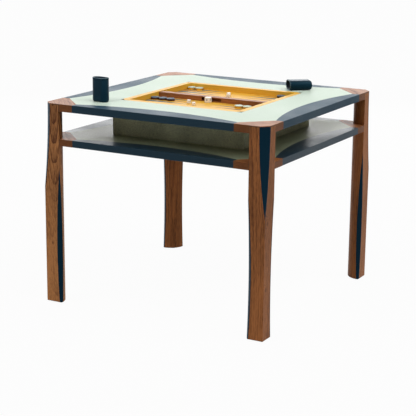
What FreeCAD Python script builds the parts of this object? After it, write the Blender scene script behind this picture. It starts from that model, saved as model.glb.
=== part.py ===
import FreeCAD, Part
import math
import os
import Sketcher

# A square games table in walnut and leather, 900 mm wide and 750 mm high.
# Four sculpted posts carry a top and a shelf of the same plan. A leather-clad well hangs
# between the two and holds a lift-out backgammon tray, whose rim is flush with the top.
# Millimetres, +Z up, +X right, -Y front. The origin is on the floor under the middle.

doc = FreeCAD.newDocument("games_table")
Vector = FreeCAD.Vector
Rotation = FreeCAD.Rotation
ROOT2 = math.sqrt(2)

# Driving dimensions: alias, value, meaning
SIZES = [
    ("table_side", 900, "width and depth of the top and of the shelf"),
    ("table_height", 750, "floor to the top face"),
    ("top_thickness", 27, "edge of the top"),
    ("shelf_space", 100.5, "clear height between the shelf and the top"),
    ("shelf_thickness", 25, "edge of the shelf"),
    ("corner_reach", 123.5, "length of a corner block along each edge"),
    ("band_end_width", 28, "width of an edge band where it meets a corner block"),
    ("band_middle_width", 78, "width of an edge band at its middle"),
    ("band_edge_round", 1.2, "rounding of the leather along the edge"),
    ("leather", 1.5, "thickness of every leather skin"),
    ("glue_gap", 0.2, "glue line between pieces that are joined"),
    ("corner_cap", 2.5, "wood of a top corner block over the post's end"),
    ("leg_width", 65, "width of a post's two outer faces"),
    ("leg_flat", 5, "flat at each side of a post's rounded inner corner"),
    ("corner_scoop", 28, "width taken off each outer face by the upper scoop, at the top"),
    ("corner_scoop_run", 321, "length of the upper scoop, from the top downwards"),
    ("side_scoop", 15.4, "width taken off each face by a lower scoop, at its deepest"),
    ("foot_bevel", 2, "bevel round a post's foot"),
    ("glide_diameter", 34, "foot glide"),
    ("glide_thickness", 3, "foot glide"),
    ("glide_place", 28, "from a post's outer faces to its glide's centre"),
    ("tray_clearance", 0.8, "running gap round the tray"),
    ("tray_height", 40, "height of the tray's rails"),
    ("rail_width", 22, "width of the tray's rim"),
    ("tray_recess", 20.5, "depth of the playing floor below the rim"),
    ("floor_thickness", 6, "playing floor"),
    ("groove_depth", 5, "groove of the rails that holds the floor"),
    ("finger_notch", 18, "corner cut off the tray, for the fingers"),
    ("bar_width", 30, "centre bar of the tray"),
    ("bar_sink", 2, "bar's top below the rim"),
    ("slot_length", 82, "dice slot in the bar"),
    ("slot_height", 12, "dice slot in the bar"),
    ("slot_depth", 14, "dice slot in the bar"),
    ("slot_sink", 3, "bar's top above the dice slot"),
    ("point_thickness", 0.8, "inlaid leaf of a point of the playing field"),
    ("wall_thickness", 18, "well wall"),
    ("well_bottom_thickness", 12, "well bottom"),
    ("felt", 1.5, "lining on the well bottom"),
    ("cleat_side", 30, "corner post that carries the tray"),
    ("cup_length", 88, "dice cup"),
    ("cup_breadth", 66, "dice cup, the wider way across"),
    ("cup_depth", 37, "dice cup, the narrower way across"),
    ("cup_wall", 3, "dice cup"),
    ("cup_bottom", 5, "dice cup"),
    ("cup_bevel", 6, "bevel round the closed end of a cup"),
    ("cup_lining", 1, "suede inside a cup"),
    ("cup_lining_step", 1.5, "lining's edge below the cup's rim"),
    ("checker_diameter", 30.5, "playing piece"),
    ("checker_height", 9, "playing piece"),
    ("checker_pitch", 34, "spacing of playing pieces in a row"),
    ("die_side", 12.5, "die"),
    ("cube_side", 20, "doubling cube"),
    ("cube_room", 5.7, "from the bar to the doubling cube"),
    ("die_bevel", 1, "bevel of the dice and the cube"),
    ("rest_gap", 0.3, "under a loose piece, which is not glued down"),
    ("bolt_diameter", 8, "corner bolt"),
    ("bolt_length", 60, "corner bolt below its head"),
    ("bolt_head_diameter", 13, "corner bolt"),
    ("bolt_head_height", 8, "corner bolt"),
    ("bolt_clearance", 0.4, "bolt holes over the bolt's sizes"),
    ("bolt_sink", 1, "bolt's head below the corner block's inner face"),
    ("overrun", 12, "how far cutters run past the faces that they cut"),
]

sheet = doc.addObject("Spreadsheet::Sheet", "Sizes")
for row, (alias, value, meaning) in enumerate(SIZES, start=1):
    sheet.set(f"A{row}", str(value))
    sheet.setAlias(f"A{row}", alias)
    sheet.set(f"B{row}", meaning)
doc.recompute()


class Size:
    """A length that keeps its number together with its formula on the sheet."""

    def __init__(self, number, formula):
        self.number = number
        self.formula = formula

    def combined(self, sign, other, work, swapped=False):
        other = as_size(other)
        first, second = (other, self) if swapped else (self, other)
        number = work(first.number, second.number)
        return Size(number, f"({first.formula} {sign} {second.formula})")

    def __add__(self, other):
        return self.combined("+", other, lambda a, b: a + b)

    def __radd__(self, other):
        return self.combined("+", other, lambda a, b: a + b, swapped=True)

    def __sub__(self, other):
        return self.combined("-", other, lambda a, b: a - b)

    def __rsub__(self, other):
        return self.combined("-", other, lambda a, b: a - b, swapped=True)

    def __mul__(self, other):
        return self.combined("*", other, lambda a, b: a * b)

    def __rmul__(self, other):
        return self.combined("*", other, lambda a, b: a * b, swapped=True)

    def __truediv__(self, other):
        return self.combined("/", other, lambda a, b: a / b)

    def __neg__(self):
        return Size(-self.number, f"(0 - {self.formula})")


def as_size(value):
    return value if isinstance(value, Size) else Size(float(value), repr(float(value)))


def size(alias):
    return Size(float(sheet.get(alias)), f"Sizes.{alias}")


def root(value):
    return Size(math.sqrt(value.number), f"sqrt({value.formula})")


def arc_radius(half_chord, rise):
    """Radius of the arc that rises so far over such a half chord."""
    return (half_chord * half_chord + rise * rise) / (rise * 2)


# Tray and playing field: the tray's side as a share of the table's, the points' length as a
# share of half the field, and their base as a share of the room for one
TRAY_SHARE = 0.5544
POINT_LENGTH_SHARE = 0.8264
POINT_BASE_SHARE = 0.847
# Lower scoops of the posts, as shares of the table's height: where they run out upwards, and
# where they are deepest
SIDE_TIP_SHARE = 0.688
SIDE_MIDDLE_SHARE = 0.2693

# Sizes that several pieces share
OVERRUN = size("overrun")
LEATHER = size("leather")
GLUE = size("glue_gap")
REST = size("rest_gap")
TOP_Z = size("table_height")
SHELF_Z = TOP_Z - size("top_thickness") - size("shelf_space")
HALF_SIDE = size("table_side") / 2
REACH = size("corner_reach")
BAND_END = size("band_end_width")
BAND_LENGTH = HALF_SIDE - REACH
BAND_RADIUS = arc_radius(BAND_LENGTH, size("band_middle_width") - BAND_END)
LEG_WIDTH = size("leg_width")
LEG_FLAT = size("leg_flat")
LEG_ROUND = LEG_WIDTH - LEG_FLAT
GLIDE = size("glide_thickness")
TRAY_HALF = HALF_SIDE * TRAY_SHARE
TRAY_Z = TOP_Z - size("tray_height")
FLOOR_Z = TOP_Z - size("tray_recess")
FIELD_HALF = TRAY_HALF - size("rail_width")
WELL_HALF = TRAY_HALF + size("tray_clearance")
WALL = size("wall_thickness")
WELL_Z = SHELF_Z + GLUE
BOLT_SEAT = (REACH + BAND_END) / ROOT2 - size("bolt_sink")

# Where the four corners and the four sides are: name, turn about Z, direction from the middle
CORNERS = [
    ("front_left", 0, -1, -1),
    ("front_right", 90, 1, -1),
    ("back_right", 180, 1, 1),
    ("back_left", 270, -1, 1),
]
SIDES = [
    ("front", 0, 0, -1),
    ("right", 90, 1, 0),
    ("back", 180, 0, 1),
    ("left", 270, -1, 0),
]

# Loose pieces on the top, as shares of half the table's side: x, y; then the turn in degrees
STANDING_CUP_SHARES = (-0.636, -0.718)
STANDING_CUP_TURN = -8
LYING_CUP_SHARES = (0.46, 0.698)
LYING_CUP_TURN = 40
# Loose pieces on the playing floor, as shares of half the field's side
CUBE_SHARE = -0.02
FRONT_DICE_SHARES = [(-0.254, -0.36, 12), (-0.08, -0.505, 35)]
BACK_DICE_SHARES = [(-0.045, 0.62, 20), (0.005, 0.52, 5)]
# Playing pieces in a long and a short row, and points in each quarter of the field
LONG_ROW_COUNT = 3
SHORT_ROW_COUNT = 2
POINTS_PER_QUARTER = 6

# Two places closer than this count as one when edges are picked
SAME_PLACE = 0.0001

nodes = []


def bind(item, place, value):
    item.setExpression(place, as_size(value).formula)


def place(item, x, y, z, rotation=None):
    """Put a finished piece where it belongs, with its position tied to the sheet."""
    item.Placement = FreeCAD.Placement(Vector(0, 0, 0), rotation or Rotation())
    bind(item, ".Placement.Base.x", x)
    bind(item, ".Placement.Base.y", y)
    bind(item, ".Placement.Base.z", z)


def turned(angle):
    return Rotation(Vector(0, 0, 1), angle)


def keep(item):
    """Count an object among the sub-parts, whose files carry their labels."""
    nodes.append(item)
    return item


def new_body(label):
    return doc.addObject("PartDesign::Body", label)


def sketch_on(body, role="XY_Plane", turn=0, shift=(0, 0, 0)):
    """A sketch on one of the body's own planes, turned about Z and shifted in its own axes."""
    sketch = body.newObject("Sketcher::SketchObject", "Outline")
    plane = [item for item in body.Origin.OriginFeatures if item.Role == role][0]
    sketch.AttachmentSupport = [(plane, "")]
    sketch.MapMode = "FlatFace"
    sketch.AttachmentOffset = FreeCAD.Placement(Vector(0, 0, 0), Rotation(Vector(0, 1, 0), turn))
    for axis, value in zip("xyz", shift):
        bind(sketch, f".AttachmentOffset.Base.{axis}", value)
    return sketch


def tie(sketch, kind, edge, end, value):
    """Fix one coordinate of an edge's end by a formula, or by the axis where it is zero."""
    if value.number == 0:
        axis_line = -2 if kind == "DistanceX" else -1
        sketch.addConstraint(Sketcher.Constraint("PointOnObject", edge, end, axis_line))
        return
    number = sketch.addConstraint(Sketcher.Constraint(kind, -1, 1, edge, end, value.number))
    bind(sketch, f"Constraints[{number}]", value)


def draw(sketch, corners, bows=None):
    """Close an outline through the corners. bows gives, for a side, its radius and its hollow
    side: 1 where the arc swells to the left of its direction, -1 to the right."""
    bows = bows or {}
    corners = [(as_size(x), as_size(y)) for x, y in corners]
    spots = [Vector(x.number, y.number, 0) for x, y in corners]
    starts, ends = [], []
    for side, start in enumerate(spots):
        end = spots[(side + 1) % len(spots)]
        if side not in bows:
            edge = sketch.addGeometry(Part.LineSegment(start, end), False)
            starts.append((edge, 1))
            ends.append((edge, 2))
            continue
        radius, swell = bows[side]
        chord = end - start
        rise = radius.number - math.sqrt(max(radius.number ** 2 - (chord.Length / 2) ** 2, 0))
        left = Vector(-chord.y, chord.x, 0).normalize()
        middle = (start + end) * 0.5 + left * (rise * swell)
        edge = sketch.addGeometry(Part.Arc(start, middle, end), False)
        forward = sketch.getPoint(edge, 1).distanceToPoint(start) < chord.Length / 2
        starts.append((edge, 1 if forward else 2))
        ends.append((edge, 2 if forward else 1))
        number = sketch.addConstraint(Sketcher.Constraint("Radius", edge, radius.number))
        bind(sketch, f"Constraints[{number}]", radius)
    for side, (x, y) in enumerate(corners):
        edge, end = starts[side]
        before, before_end = ends[side - 1]
        sketch.addConstraint(Sketcher.Constraint("Coincident", before, before_end, edge, end))
        tie(sketch, "DistanceX", edge, end, x)
        tie(sketch, "DistanceY", edge, end, y)
    return sketch


def draw_rectangle(sketch, half_x, half_y):
    return draw(sketch, [(-half_x, -half_y), (half_x, -half_y), (half_x, half_y), (-half_x, half_y)])


def draw_circle(sketch, x, y, diameter):
    x, y, diameter = as_size(x), as_size(y), as_size(diameter)
    spot = Vector(x.number, y.number, 0)
    circle = sketch.addGeometry(Part.Circle(spot, Vector(0, 0, 1), diameter.number / 2), False)
    tie(sketch, "DistanceX", circle, 3, x)
    tie(sketch, "DistanceY", circle, 3, y)
    number = sketch.addConstraint(Sketcher.Constraint("Diameter", circle, diameter.number))
    bind(sketch, f"Constraints[{number}]", diameter)
    return sketch


def pad(body, sketch, length):
    feature = body.newObject("PartDesign::Pad", "Pad")
    feature.Profile = sketch
    bind(feature, "Length", length)
    sketch.Visibility = False
    return feature


def pocket(body, sketch, length, symmetric=False, upwards=False):
    """Cut the sketch out of the body, and make sure that something was cut."""
    before = body.Tip
    before.recompute(True)
    volume = before.Shape.Volume
    feature = body.newObject("PartDesign::Pocket", "Pocket")
    feature.Profile = sketch
    bind(feature, "Length", length)
    feature.Reversed = upwards
    if symmetric:
        feature.SideType = "Symmetric"
    sketch.Visibility = False
    feature.recompute(True)
    if not feature.Shape.Volume < volume:
        raise RuntimeError(f"a pocket cuts nothing from {body.Label}")
    return feature


def edges_at_height(feature, height):
    """Names of the feature's edges that lie flat at a height."""
    feature.recompute(True)
    names = []
    for number, edge in enumerate(feature.Shape.Edges, start=1):
        box = edge.BoundBox
        if max(abs(box.ZMin - height.number), abs(box.ZMax - height.number)) < SAME_PLACE:
            names.append(f"Edge{number}")
    return names


def soften(body, kind, names, amount):
    """Fillet or chamfer the named edges of the body's last feature."""
    feature = body.newObject(f"PartDesign::{kind}", kind)
    feature.Base = (body.Tip if body.Tip is not feature else feature.BaseFeature, names)
    bind(feature, "Radius" if kind == "Fillet" else "Size", amount)
    return feature


def group(label, pieces):
    """Several like solids that share one file."""
    compound = doc.addObject("Part::Compound", label)
    compound.Links = pieces
    return compound


# Posts

CORNER_DEPTH = size("corner_scoop") / ROOT2
CORNER_RADIUS = arc_radius(size("corner_scoop_run"), CORNER_DEPTH)
SIDE_DEPTH = size("side_scoop") / ROOT2
SIDE_MIDDLE = TOP_Z * SIDE_MIDDLE_SHARE
SIDE_RADIUS = arc_radius(TOP_Z * SIDE_TIP_SHARE - SIDE_MIDDLE, SIDE_DEPTH)
# Turn of a lower scoop's plane, and the side corner that the scoop starts from
SIDE_SCOOPS = [
    ("first", 135, (LEG_WIDTH, 0, 0)),
    ("second", -45, (0, 0, -LEG_WIDTH)),
]


def post_blank(body):
    """The post's section, square outside and round inside, from its foot to its top."""
    sketch = sketch_on(body, shift=(0, 0, GLIDE))
    draw(
        sketch,
        [(0, 0), (LEG_WIDTH, 0), (LEG_WIDTH, LEG_FLAT), (LEG_FLAT, LEG_WIDTH), (0, LEG_WIDTH)],
        {2: (LEG_ROUND, -1)},
    )
    pad(body, sketch, TOP_Z - size("corner_cap") - GLIDE - GLUE)
    soften(body, "Chamfer", edges_at_height(body.Tip, GLIDE), size("foot_bevel"))


def corner_scoop(inset):
    """Tip height and depth at the top of the upper scoop's arc, moved out by an inset."""
    radius = CORNER_RADIUS - inset
    centre = CORNER_DEPTH - CORNER_RADIUS
    return TOP_Z - root(radius * radius - centre * centre), CORNER_DEPTH - inset, radius


def side_scoop(inset):
    """Tip height and depth at the floor of a lower scoop's arc, moved out by an inset."""
    radius = SIDE_RADIUS - inset
    centre = SIDE_DEPTH - SIDE_RADIUS
    tip = SIDE_MIDDLE + root(radius * radius - centre * centre)
    return tip, centre + root(radius * radius - SIDE_MIDDLE * SIDE_MIDDLE), radius


def cut_corner_scoop(body, inset, inner=False):
    """Cut what lies outside the upper scoop's arc or, with inner, all that lies behind it."""
    tip, depth, radius = corner_scoop(inset)
    top = TOP_Z + OVERRUN
    far = LEG_WIDTH * 2
    arc = [(0, tip), (depth, TOP_Z), (depth, top)]
    if inner:
        rest = [(far, top), (far, -OVERRUN), (-OVERRUN, -OVERRUN), (-OVERRUN, tip)]
    else:
        rest = [(-OVERRUN, top), (-OVERRUN, tip)]
    sketch = sketch_on(body, "XZ_Plane", turn=45)
    draw(sketch, arc + rest, {0: (radius, -1)})
    pocket(body, sketch, LEG_WIDTH * 4, symmetric=True)


def cut_side_scoop(body, turn, shift, inset, inner=False):
    """The same for a lower scoop, whose arc runs from its tip down to the floor."""
    tip, depth, radius = side_scoop(inset)
    top = TOP_Z + OVERRUN
    far = LEG_WIDTH * 2
    arc = [(0, tip), (depth, 0), (depth, -OVERRUN)]
    if inner:
        rest = [(far, -OVERRUN), (far, top), (-OVERRUN, top), (-OVERRUN, tip)]
    else:
        rest = [(-OVERRUN, -OVERRUN), (-OVERRUN, tip)]
    sketch = sketch_on(body, "XZ_Plane", turn=turn, shift=shift)
    draw(sketch, arc + rest, {0: (radius, 1)})
    pocket(body, sketch, LEG_WIDTH * 4, symmetric=True)


def bolt_bore(body, height, diameter, depth):
    """A round hole on the diagonal, from the bolt's head towards the corner."""
    clearance = size("bolt_clearance")
    start = (BOLT_SEAT + OVERRUN) / ROOT2
    sketch = sketch_on(body, "XZ_Plane", turn=135, shift=(start, 0, -start))
    draw_circle(sketch, 0, height, diameter + clearance)
    pocket(body, sketch, OVERRUN + depth + clearance)


def bolt_hole(body, height):
    bolt_bore(body, height, size("bolt_diameter"), size("bolt_head_height") + size("bolt_length"))


def post(label):
    body = new_body(label)
    post_blank(body)
    cut_corner_scoop(body, 0)
    for name, turn, shift in SIDE_SCOOPS:
        cut_side_scoop(body, turn, shift, 0)
    for height in (TOP_BOLT_Z, SHELF_BOLT_Z):
        bolt_hole(body, height)
    return body


def post_corner_leather(label):
    """The skin that lines the upper scoop, flush with the post's two outer faces."""
    body = new_body(label)
    post_blank(body)
    cut_corner_scoop(body, 0, inner=True)
    cut_corner_scoop(body, LEATHER)
    return body


def post_side_leather(label, turn, shift):
    body = new_body(label)
    post_blank(body)
    cut_side_scoop(body, turn, shift, 0, inner=True)
    cut_side_scoop(body, turn, shift, LEATHER)
    return body


def glide(label):
    disc = doc.addObject("Part::Cylinder", label)
    bind(disc, "Radius", size("glide_diameter") / 2)
    bind(disc, "Height", GLIDE)
    return disc


# Top and shelf, which share one plan

TOP_BOLT_Z = TOP_Z - size("top_thickness") / 2
SHELF_BOLT_Z = SHELF_Z - size("shelf_thickness") / 2


def corner_block(label, top_z, thickness, cap):
    """A corner block, notched for its post. A cap of wood stays over the post, or none."""
    body = new_body(label)
    low = top_z - thickness
    chamfer = size("corner_scoop") - LEATHER * ROOT2
    sketch = sketch_on(body, shift=(0, 0, low))
    plan = [(chamfer, 0), (REACH, 0), (REACH, BAND_END), (BAND_END, REACH), (0, REACH), (0, chamfer)]
    draw(sketch, plan)
    pad(body, sketch, thickness)
    wide = LEG_WIDTH + GLUE
    notch = sketch_on(body, shift=(0, 0, low - OVERRUN))
    corners = [(-OVERRUN, -OVERRUN), (wide, -OVERRUN), (wide, LEG_FLAT), (LEG_FLAT, wide)]
    corners.append((-OVERRUN, wide))
    draw(notch, corners, {2: (LEG_ROUND + GLUE, -1)})
    height = thickness - cap + OVERRUN
    pocket(body, notch, height if cap else height + OVERRUN, upwards=True)
    bolt_hole(body, top_z - thickness / 2)
    bolt_bore(body, top_z - thickness / 2, size("bolt_head_diameter"), size("bolt_head_height"))
    return body


def edge_band(label, top_z, thickness):
    """Leather wrapped over an edge: upper skin, edge and lower skin in one folded piece."""
    body = new_body(label)
    low = top_z - thickness
    sketch = sketch_on(body, shift=(0, 0, low))
    plan = [(-BAND_LENGTH, 0), (BAND_LENGTH, 0), (BAND_LENGTH, BAND_END), (-BAND_LENGTH, BAND_END)]
    draw(sketch, plan, {2: (BAND_RADIUS, -1)})
    pad(body, sketch, thickness)
    channel = sketch_on(body, shift=(0, 0, low + LEATHER))
    wide = BAND_LENGTH + OVERRUN
    deep = size("band_middle_width") + OVERRUN
    draw(channel, [(-wide, LEATHER), (wide, LEATHER), (wide, deep), (-wide, deep)])
    pocket(body, channel, thickness - LEATHER * 2, upwards=True)
    names = []
    for height in (low, top_z):
        names += [name for name in edges_at_height(body.Tip, height) if on_outer_edge(body, name)]
    soften(body, "Fillet", names, size("band_edge_round"))
    return body


def on_outer_edge(body, name):
    box = body.Tip.Shape.getElement(name).BoundBox
    return max(abs(box.YMin), abs(box.YMax)) < SAME_PLACE


def edge_lipping(label, thickness):
    """The hardwood strip inside an edge band."""
    body = new_body(label)
    inset = LEATHER + GLUE
    half = BAND_LENGTH - GLUE
    sketch = sketch_on(body, shift=(0, 0, -thickness + inset))
    plan = [(-half, inset), (half, inset), (half, BAND_END), (-half, BAND_END)]
    draw(sketch, plan, {2: (BAND_RADIUS, -1)})
    pad(body, sketch, thickness - inset * 2)
    return body


def inner_plan(sketch):
    """The field between the four bands and the four corner blocks, one glue line smaller."""
    edge = HALF_SIDE - BAND_END - GLUE * ROOT2
    near = BAND_LENGTH
    corners = [(-near, -edge), (near, -edge), (edge, -near), (edge, near)]
    corners += [(near, edge), (-near, edge), (-edge, near), (-edge, -near)]
    return draw(sketch, corners, {side: (BAND_RADIUS, 1) for side in (0, 2, 4, 6)})


def field_panel(label, low, thickness, opening):
    body = new_body(label)
    sketch = inner_plan(sketch_on(body, shift=(0, 0, low)))
    pad(body, sketch, thickness)
    if opening:
        hole = draw_rectangle(sketch_on(body, shift=(0, 0, low - OVERRUN)), WELL_HALF, WELL_HALF)
        pocket(body, hole, thickness + OVERRUN * 2, upwards=True)
    return body


def slab(prefix, top_z, thickness, cap, opening):
    """The top or the shelf: panel, leather field, corner blocks, edge bands and lippings."""
    low = top_z - thickness
    keep(field_panel(f"{prefix}_core", low, thickness - LEATHER, opening))
    keep(field_panel(f"{prefix}_field_leather", top_z - LEATHER, LEATHER, opening))
    for name, turn, x, y in CORNERS:
        block = keep(corner_block(f"{prefix}_corner_{name}", top_z, thickness, cap))
        place(block, HALF_SIDE * x, HALF_SIDE * y, 0, turned(turn))
    strips = []
    for name, turn, x, y in SIDES:
        band = keep(edge_band(f"{prefix}_band_{name}", top_z, thickness))
        place(band, HALF_SIDE * x, HALF_SIDE * y, 0, turned(turn))
        strip = edge_lipping(f"{prefix}_lipping_{name}", thickness)
        place(strip, HALF_SIDE * x, HALF_SIDE * y, top_z, turned(turn))
        strips.append(strip)
    keep(group(f"{prefix}_edge_lippings", strips))


def corner_bolt(label):
    """A bolt along its own Z, from its head's face to its tip."""
    body = new_body(label)
    head = size("bolt_head_height")
    neck = size("bolt_diameter") / 2
    tip = head + size("bolt_length")
    broad = size("bolt_head_diameter") / 2
    sketch = sketch_on(body, "XZ_Plane")
    draw(sketch, [(0, 0), (broad, 0), (broad, head), (neck, head), (neck, tip), (0, tip)])
    spin(body, sketch)
    return body


def spin(body, sketch):
    """Turn a half profile all the way round the sketch's vertical axis."""
    feature = body.newObject("PartDesign::Revolution", "Revolution")
    feature.Profile = sketch
    feature.ReferenceAxis = (sketch, ["V_Axis"])
    feature.Angle = 360
    sketch.Visibility = False
    return feature


# Well between the top and the shelf

def well_wall(label):
    """One mitred wall, its outer face at y = 0."""
    body = new_body(label)
    outer = WELL_HALF + WALL
    sketch = sketch_on(body, shift=(0, 0, WELL_Z))
    draw(sketch, [(-outer, 0), (outer, 0), (WELL_HALF, WALL), (-WELL_HALF, WALL)])
    pad(body, sketch, TOP_Z - size("top_thickness") - GLUE - WELL_Z)
    return body


def well_skin(label):
    """The leather round the four walls."""
    body = new_body(label)
    inner = WELL_HALF + WALL + GLUE
    height = TOP_Z - size("top_thickness") - GLUE - WELL_Z
    sketch = draw_rectangle(sketch_on(body, shift=(0, 0, WELL_Z)), inner + LEATHER, inner + LEATHER)
    pad(body, sketch, height)
    hole = draw_rectangle(sketch_on(body, shift=(0, 0, WELL_Z - OVERRUN)), inner, inner)
    pocket(body, hole, height + OVERRUN * 2, upwards=True)
    return body


def well_floor(label):
    body = new_body(label)
    half = WELL_HALF - GLUE
    sketch = draw_rectangle(sketch_on(body, shift=(0, 0, WELL_Z)), half, half)
    pad(body, sketch, size("well_bottom_thickness"))
    return body


def well_felt(label):
    """The felt on the well's bottom, its corners cut to clear the four cleats."""
    body = new_body(label)
    half = WELL_HALF - GLUE
    cut = half - size("cleat_side") * 1.5 - GLUE
    corners = [(-cut, -half), (cut, -half), (half, -cut), (half, cut)]
    corners += [(cut, half), (-cut, half), (-half, cut), (-half, -cut)]
    low = WELL_Z + size("well_bottom_thickness") + GLUE
    pad(body, draw(sketch_on(body, shift=(0, 0, low)), corners), size("felt"))
    return body


def cleat(label):
    """A post in a corner of the well, on which a corner of the tray rests."""
    body = new_body(label)
    side = size("cleat_side")
    low = WELL_Z + size("well_bottom_thickness") + GLUE
    corners = [(GLUE, GLUE), (side, GLUE), (side, side / 2), (side / 2, side), (GLUE, side)]
    pad(body, draw(sketch_on(body, shift=(0, 0, low)), corners), TRAY_Z - REST - low)
    return body


# Backgammon tray

LEAF = size("point_thickness")
POINT_PITCH = (FIELD_HALF - size("bar_width") / 2) / POINTS_PER_QUARTER


def tray_rail(label):
    """One mitred rail, its outer face at y = 0, with the finger cuts and the floor's groove."""
    body = new_body(label)
    width = size("rail_width")
    cut = size("finger_notch")
    sketch = sketch_on(body, shift=(0, 0, TRAY_Z))
    right = [(TRAY_HALF - cut, 0), (TRAY_HALF - cut / 2, cut / 2), (TRAY_HALF - width, width)]
    left = [(-x, y) for x, y in reversed(right)]
    draw(sketch, right + left)
    pad(body, sketch, size("tray_height"))
    groove = sketch_on(body, shift=(0, 0, FLOOR_Z - size("floor_thickness") - GLUE))
    back = width - size("groove_depth")
    front = width + OVERRUN
    draw(groove, [(-TRAY_HALF, back), (TRAY_HALF, back), (TRAY_HALF, front), (-TRAY_HALF, front)])
    pocket(body, groove, size("floor_thickness") + GLUE * 2, upwards=True)
    return body


def point_leaf(label, side, height):
    """One long triangle, lying from a side rail towards the middle at a distance from the bar."""
    leaf = doc.addObject("Part::Wedge", label)
    half = POINT_PITCH * POINT_BASE_SHARE / 2
    for edge, value in (("Xmin", -half), ("Xmax", half), ("X2min", 0), ("X2max", 0)):
        bind(leaf, edge, value)
    for edge, value in (("Ymin", 0), ("Ymax", FIELD_HALF * POINT_LENGTH_SHARE)):
        bind(leaf, edge, value)
    for edge, value in (("Zmin", 0), ("Z2min", 0), ("Zmax", LEAF), ("Z2max", LEAF)):
        bind(leaf, edge, value)
    place(leaf, (FIELD_HALF - GLUE) * side, height, FLOOR_Z - LEAF, turned(90 * side))
    return leaf


def point_height(half, number):
    """Y of a point's middle: half is 1 behind the bar and -1 before it, number counts from it."""
    return (size("bar_width") / 2 + POINT_PITCH * (number - 0.5)) * half


def point_leaves():
    """All 24 points, in two colours that alternate along each rail."""
    leaves = {"blue": [], "brown": []}
    for side in (-1, 1):
        for half in (-1, 1):
            for number in range(1, POINTS_PER_QUARTER + 1):
                parity = number + (1 if side * half > 0 else 0)
                colour = "blue" if parity % 2 == 0 else "brown"
                label = f"point_{colour}_{len(leaves[colour]) + 1}"
                leaves[colour].append(point_leaf(label, side, point_height(half, number)))
    return leaves


def tray_floor(label, leaves):
    """The playing floor, let in for the leaves of both colours."""
    blank = doc.addObject("Part::Box", f"{label}_blank")
    half = FIELD_HALF + size("groove_depth") - GLUE
    bind(blank, "Length", half * 2)
    bind(blank, "Width", half * 2)
    bind(blank, "Height", size("floor_thickness"))
    place(blank, -half, -half, FLOOR_Z - size("floor_thickness"))
    inlays = group(f"{label}_inlays", leaves)
    floor = doc.addObject("Part::Cut", label)
    floor.Base = blank
    floor.Tool = inlays
    return floor


def tray_bar(label):
    """The bar between the halves, with the dice slot in its front face."""
    body = new_body(label)
    width = size("bar_width")
    top = TOP_Z - size("bar_sink")
    low = FLOOR_Z + GLUE
    sketch = sketch_on(body, shift=(0, 0, low))
    pad(body, draw_rectangle(sketch, FIELD_HALF - GLUE, width / 2), top - low)
    half = size("slot_length") / 2
    high = top - size("slot_sink")
    slot = sketch_on(body, "XZ_Plane", shift=(0, 0, width / 2))
    low = high - size("slot_height")
    draw(slot, [(-half, low), (half, low), (half, high), (-half, high)])
    pocket(body, slot, size("slot_depth"))
    return body


# Loose pieces

def oval(sketch, inset):
    """The cup's section, two flats and two round ends, drawn in by an inset."""
    radius = size("cup_depth") / 2 - inset
    flat = (size("cup_breadth") - size("cup_depth")) / 2
    corners = [(-flat, -radius), (flat, -radius), (flat + radius, 0)]
    corners += [(flat, radius), (-flat, radius), (-(flat + radius), 0)]
    return draw(sketch, corners, {side: (radius, -1) for side in (1, 2, 4, 5)})


def cup_shell(label):
    """A dice cup that stands on its closed end."""
    body = new_body(label)
    length = size("cup_length")
    pad(body, oval(sketch_on(body), as_size(0)), length)
    inside = oval(sketch_on(body, shift=(0, 0, length)), size("cup_wall"))
    pocket(body, inside, length - size("cup_bottom"))
    soften(body, "Chamfer", edges_at_height(body.Tip, as_size(0)), size("cup_bevel"))
    return body


def cup_lining(label):
    """The suede inside a cup, over its wall and its bottom."""
    body = new_body(label)
    low = size("cup_bottom") + GLUE
    high = size("cup_length") - size("cup_lining_step")
    outside = size("cup_wall") + GLUE
    pad(body, oval(sketch_on(body, shift=(0, 0, low)), outside), high - low)
    inside = oval(sketch_on(body, shift=(0, 0, high)), outside + size("cup_lining"))
    pocket(body, inside, high - low - size("cup_lining"))
    return body


def standing_cup():
    x, y = STANDING_CUP_SHARES
    for piece in (cup_shell("cup_standing"), cup_lining("cup_standing_lining")):
        place(keep(piece), HALF_SIDE * x, HALF_SIDE * y, TOP_Z + REST, turned(STANDING_CUP_TURN))


def lying_cup():
    """The second cup lies on its flat side, its mouth to the left."""
    x, y = LYING_CUP_SHARES
    angle = math.radians(LYING_CUP_TURN)
    half = size("cup_length") / 2
    rotation = turned(LYING_CUP_TURN - 90) * Rotation(Vector(1, 0, 0), 90)
    for piece in (cup_shell("cup_lying"), cup_lining("cup_lying_lining")):
        place(
            keep(piece),
            HALF_SIDE * x + half * math.cos(angle),
            HALF_SIDE * y + half * math.sin(angle),
            TOP_Z + REST + size("cup_depth") / 2,
            rotation,
        )


def checker(label):
    """A playing piece: a turned disc."""
    body = new_body(label)
    disc = draw_circle(sketch_on(body), 0, 0, size("checker_diameter"))
    pad(body, disc, size("checker_height"))
    return body


def checker_row(label, count, side, half, number):
    """Playing pieces in a row on one point, from the side rail inwards."""
    pieces = []
    first = FIELD_HALF - size("checker_diameter") / 2 - REST
    for index in range(count):
        piece = checker(f"{label}_{index + 1}")
        x = (first - size("checker_pitch") * index) * side
        place(piece, x, point_height(half, number), FLOOR_Z + REST)
        pieces.append(piece)
    keep(group(label, pieces))


def cube(label, side):
    """A cube with bevelled edges, its middle over its own origin."""
    body = new_body(label)
    pad(body, draw_rectangle(sketch_on(body), side / 2, side / 2), side)
    body.Tip.recompute(True)
    names = [f"Edge{number}" for number in range(1, len(body.Tip.Shape.Edges) + 1)]
    soften(body, "Chamfer", names, size("die_bevel"))
    return body


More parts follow.
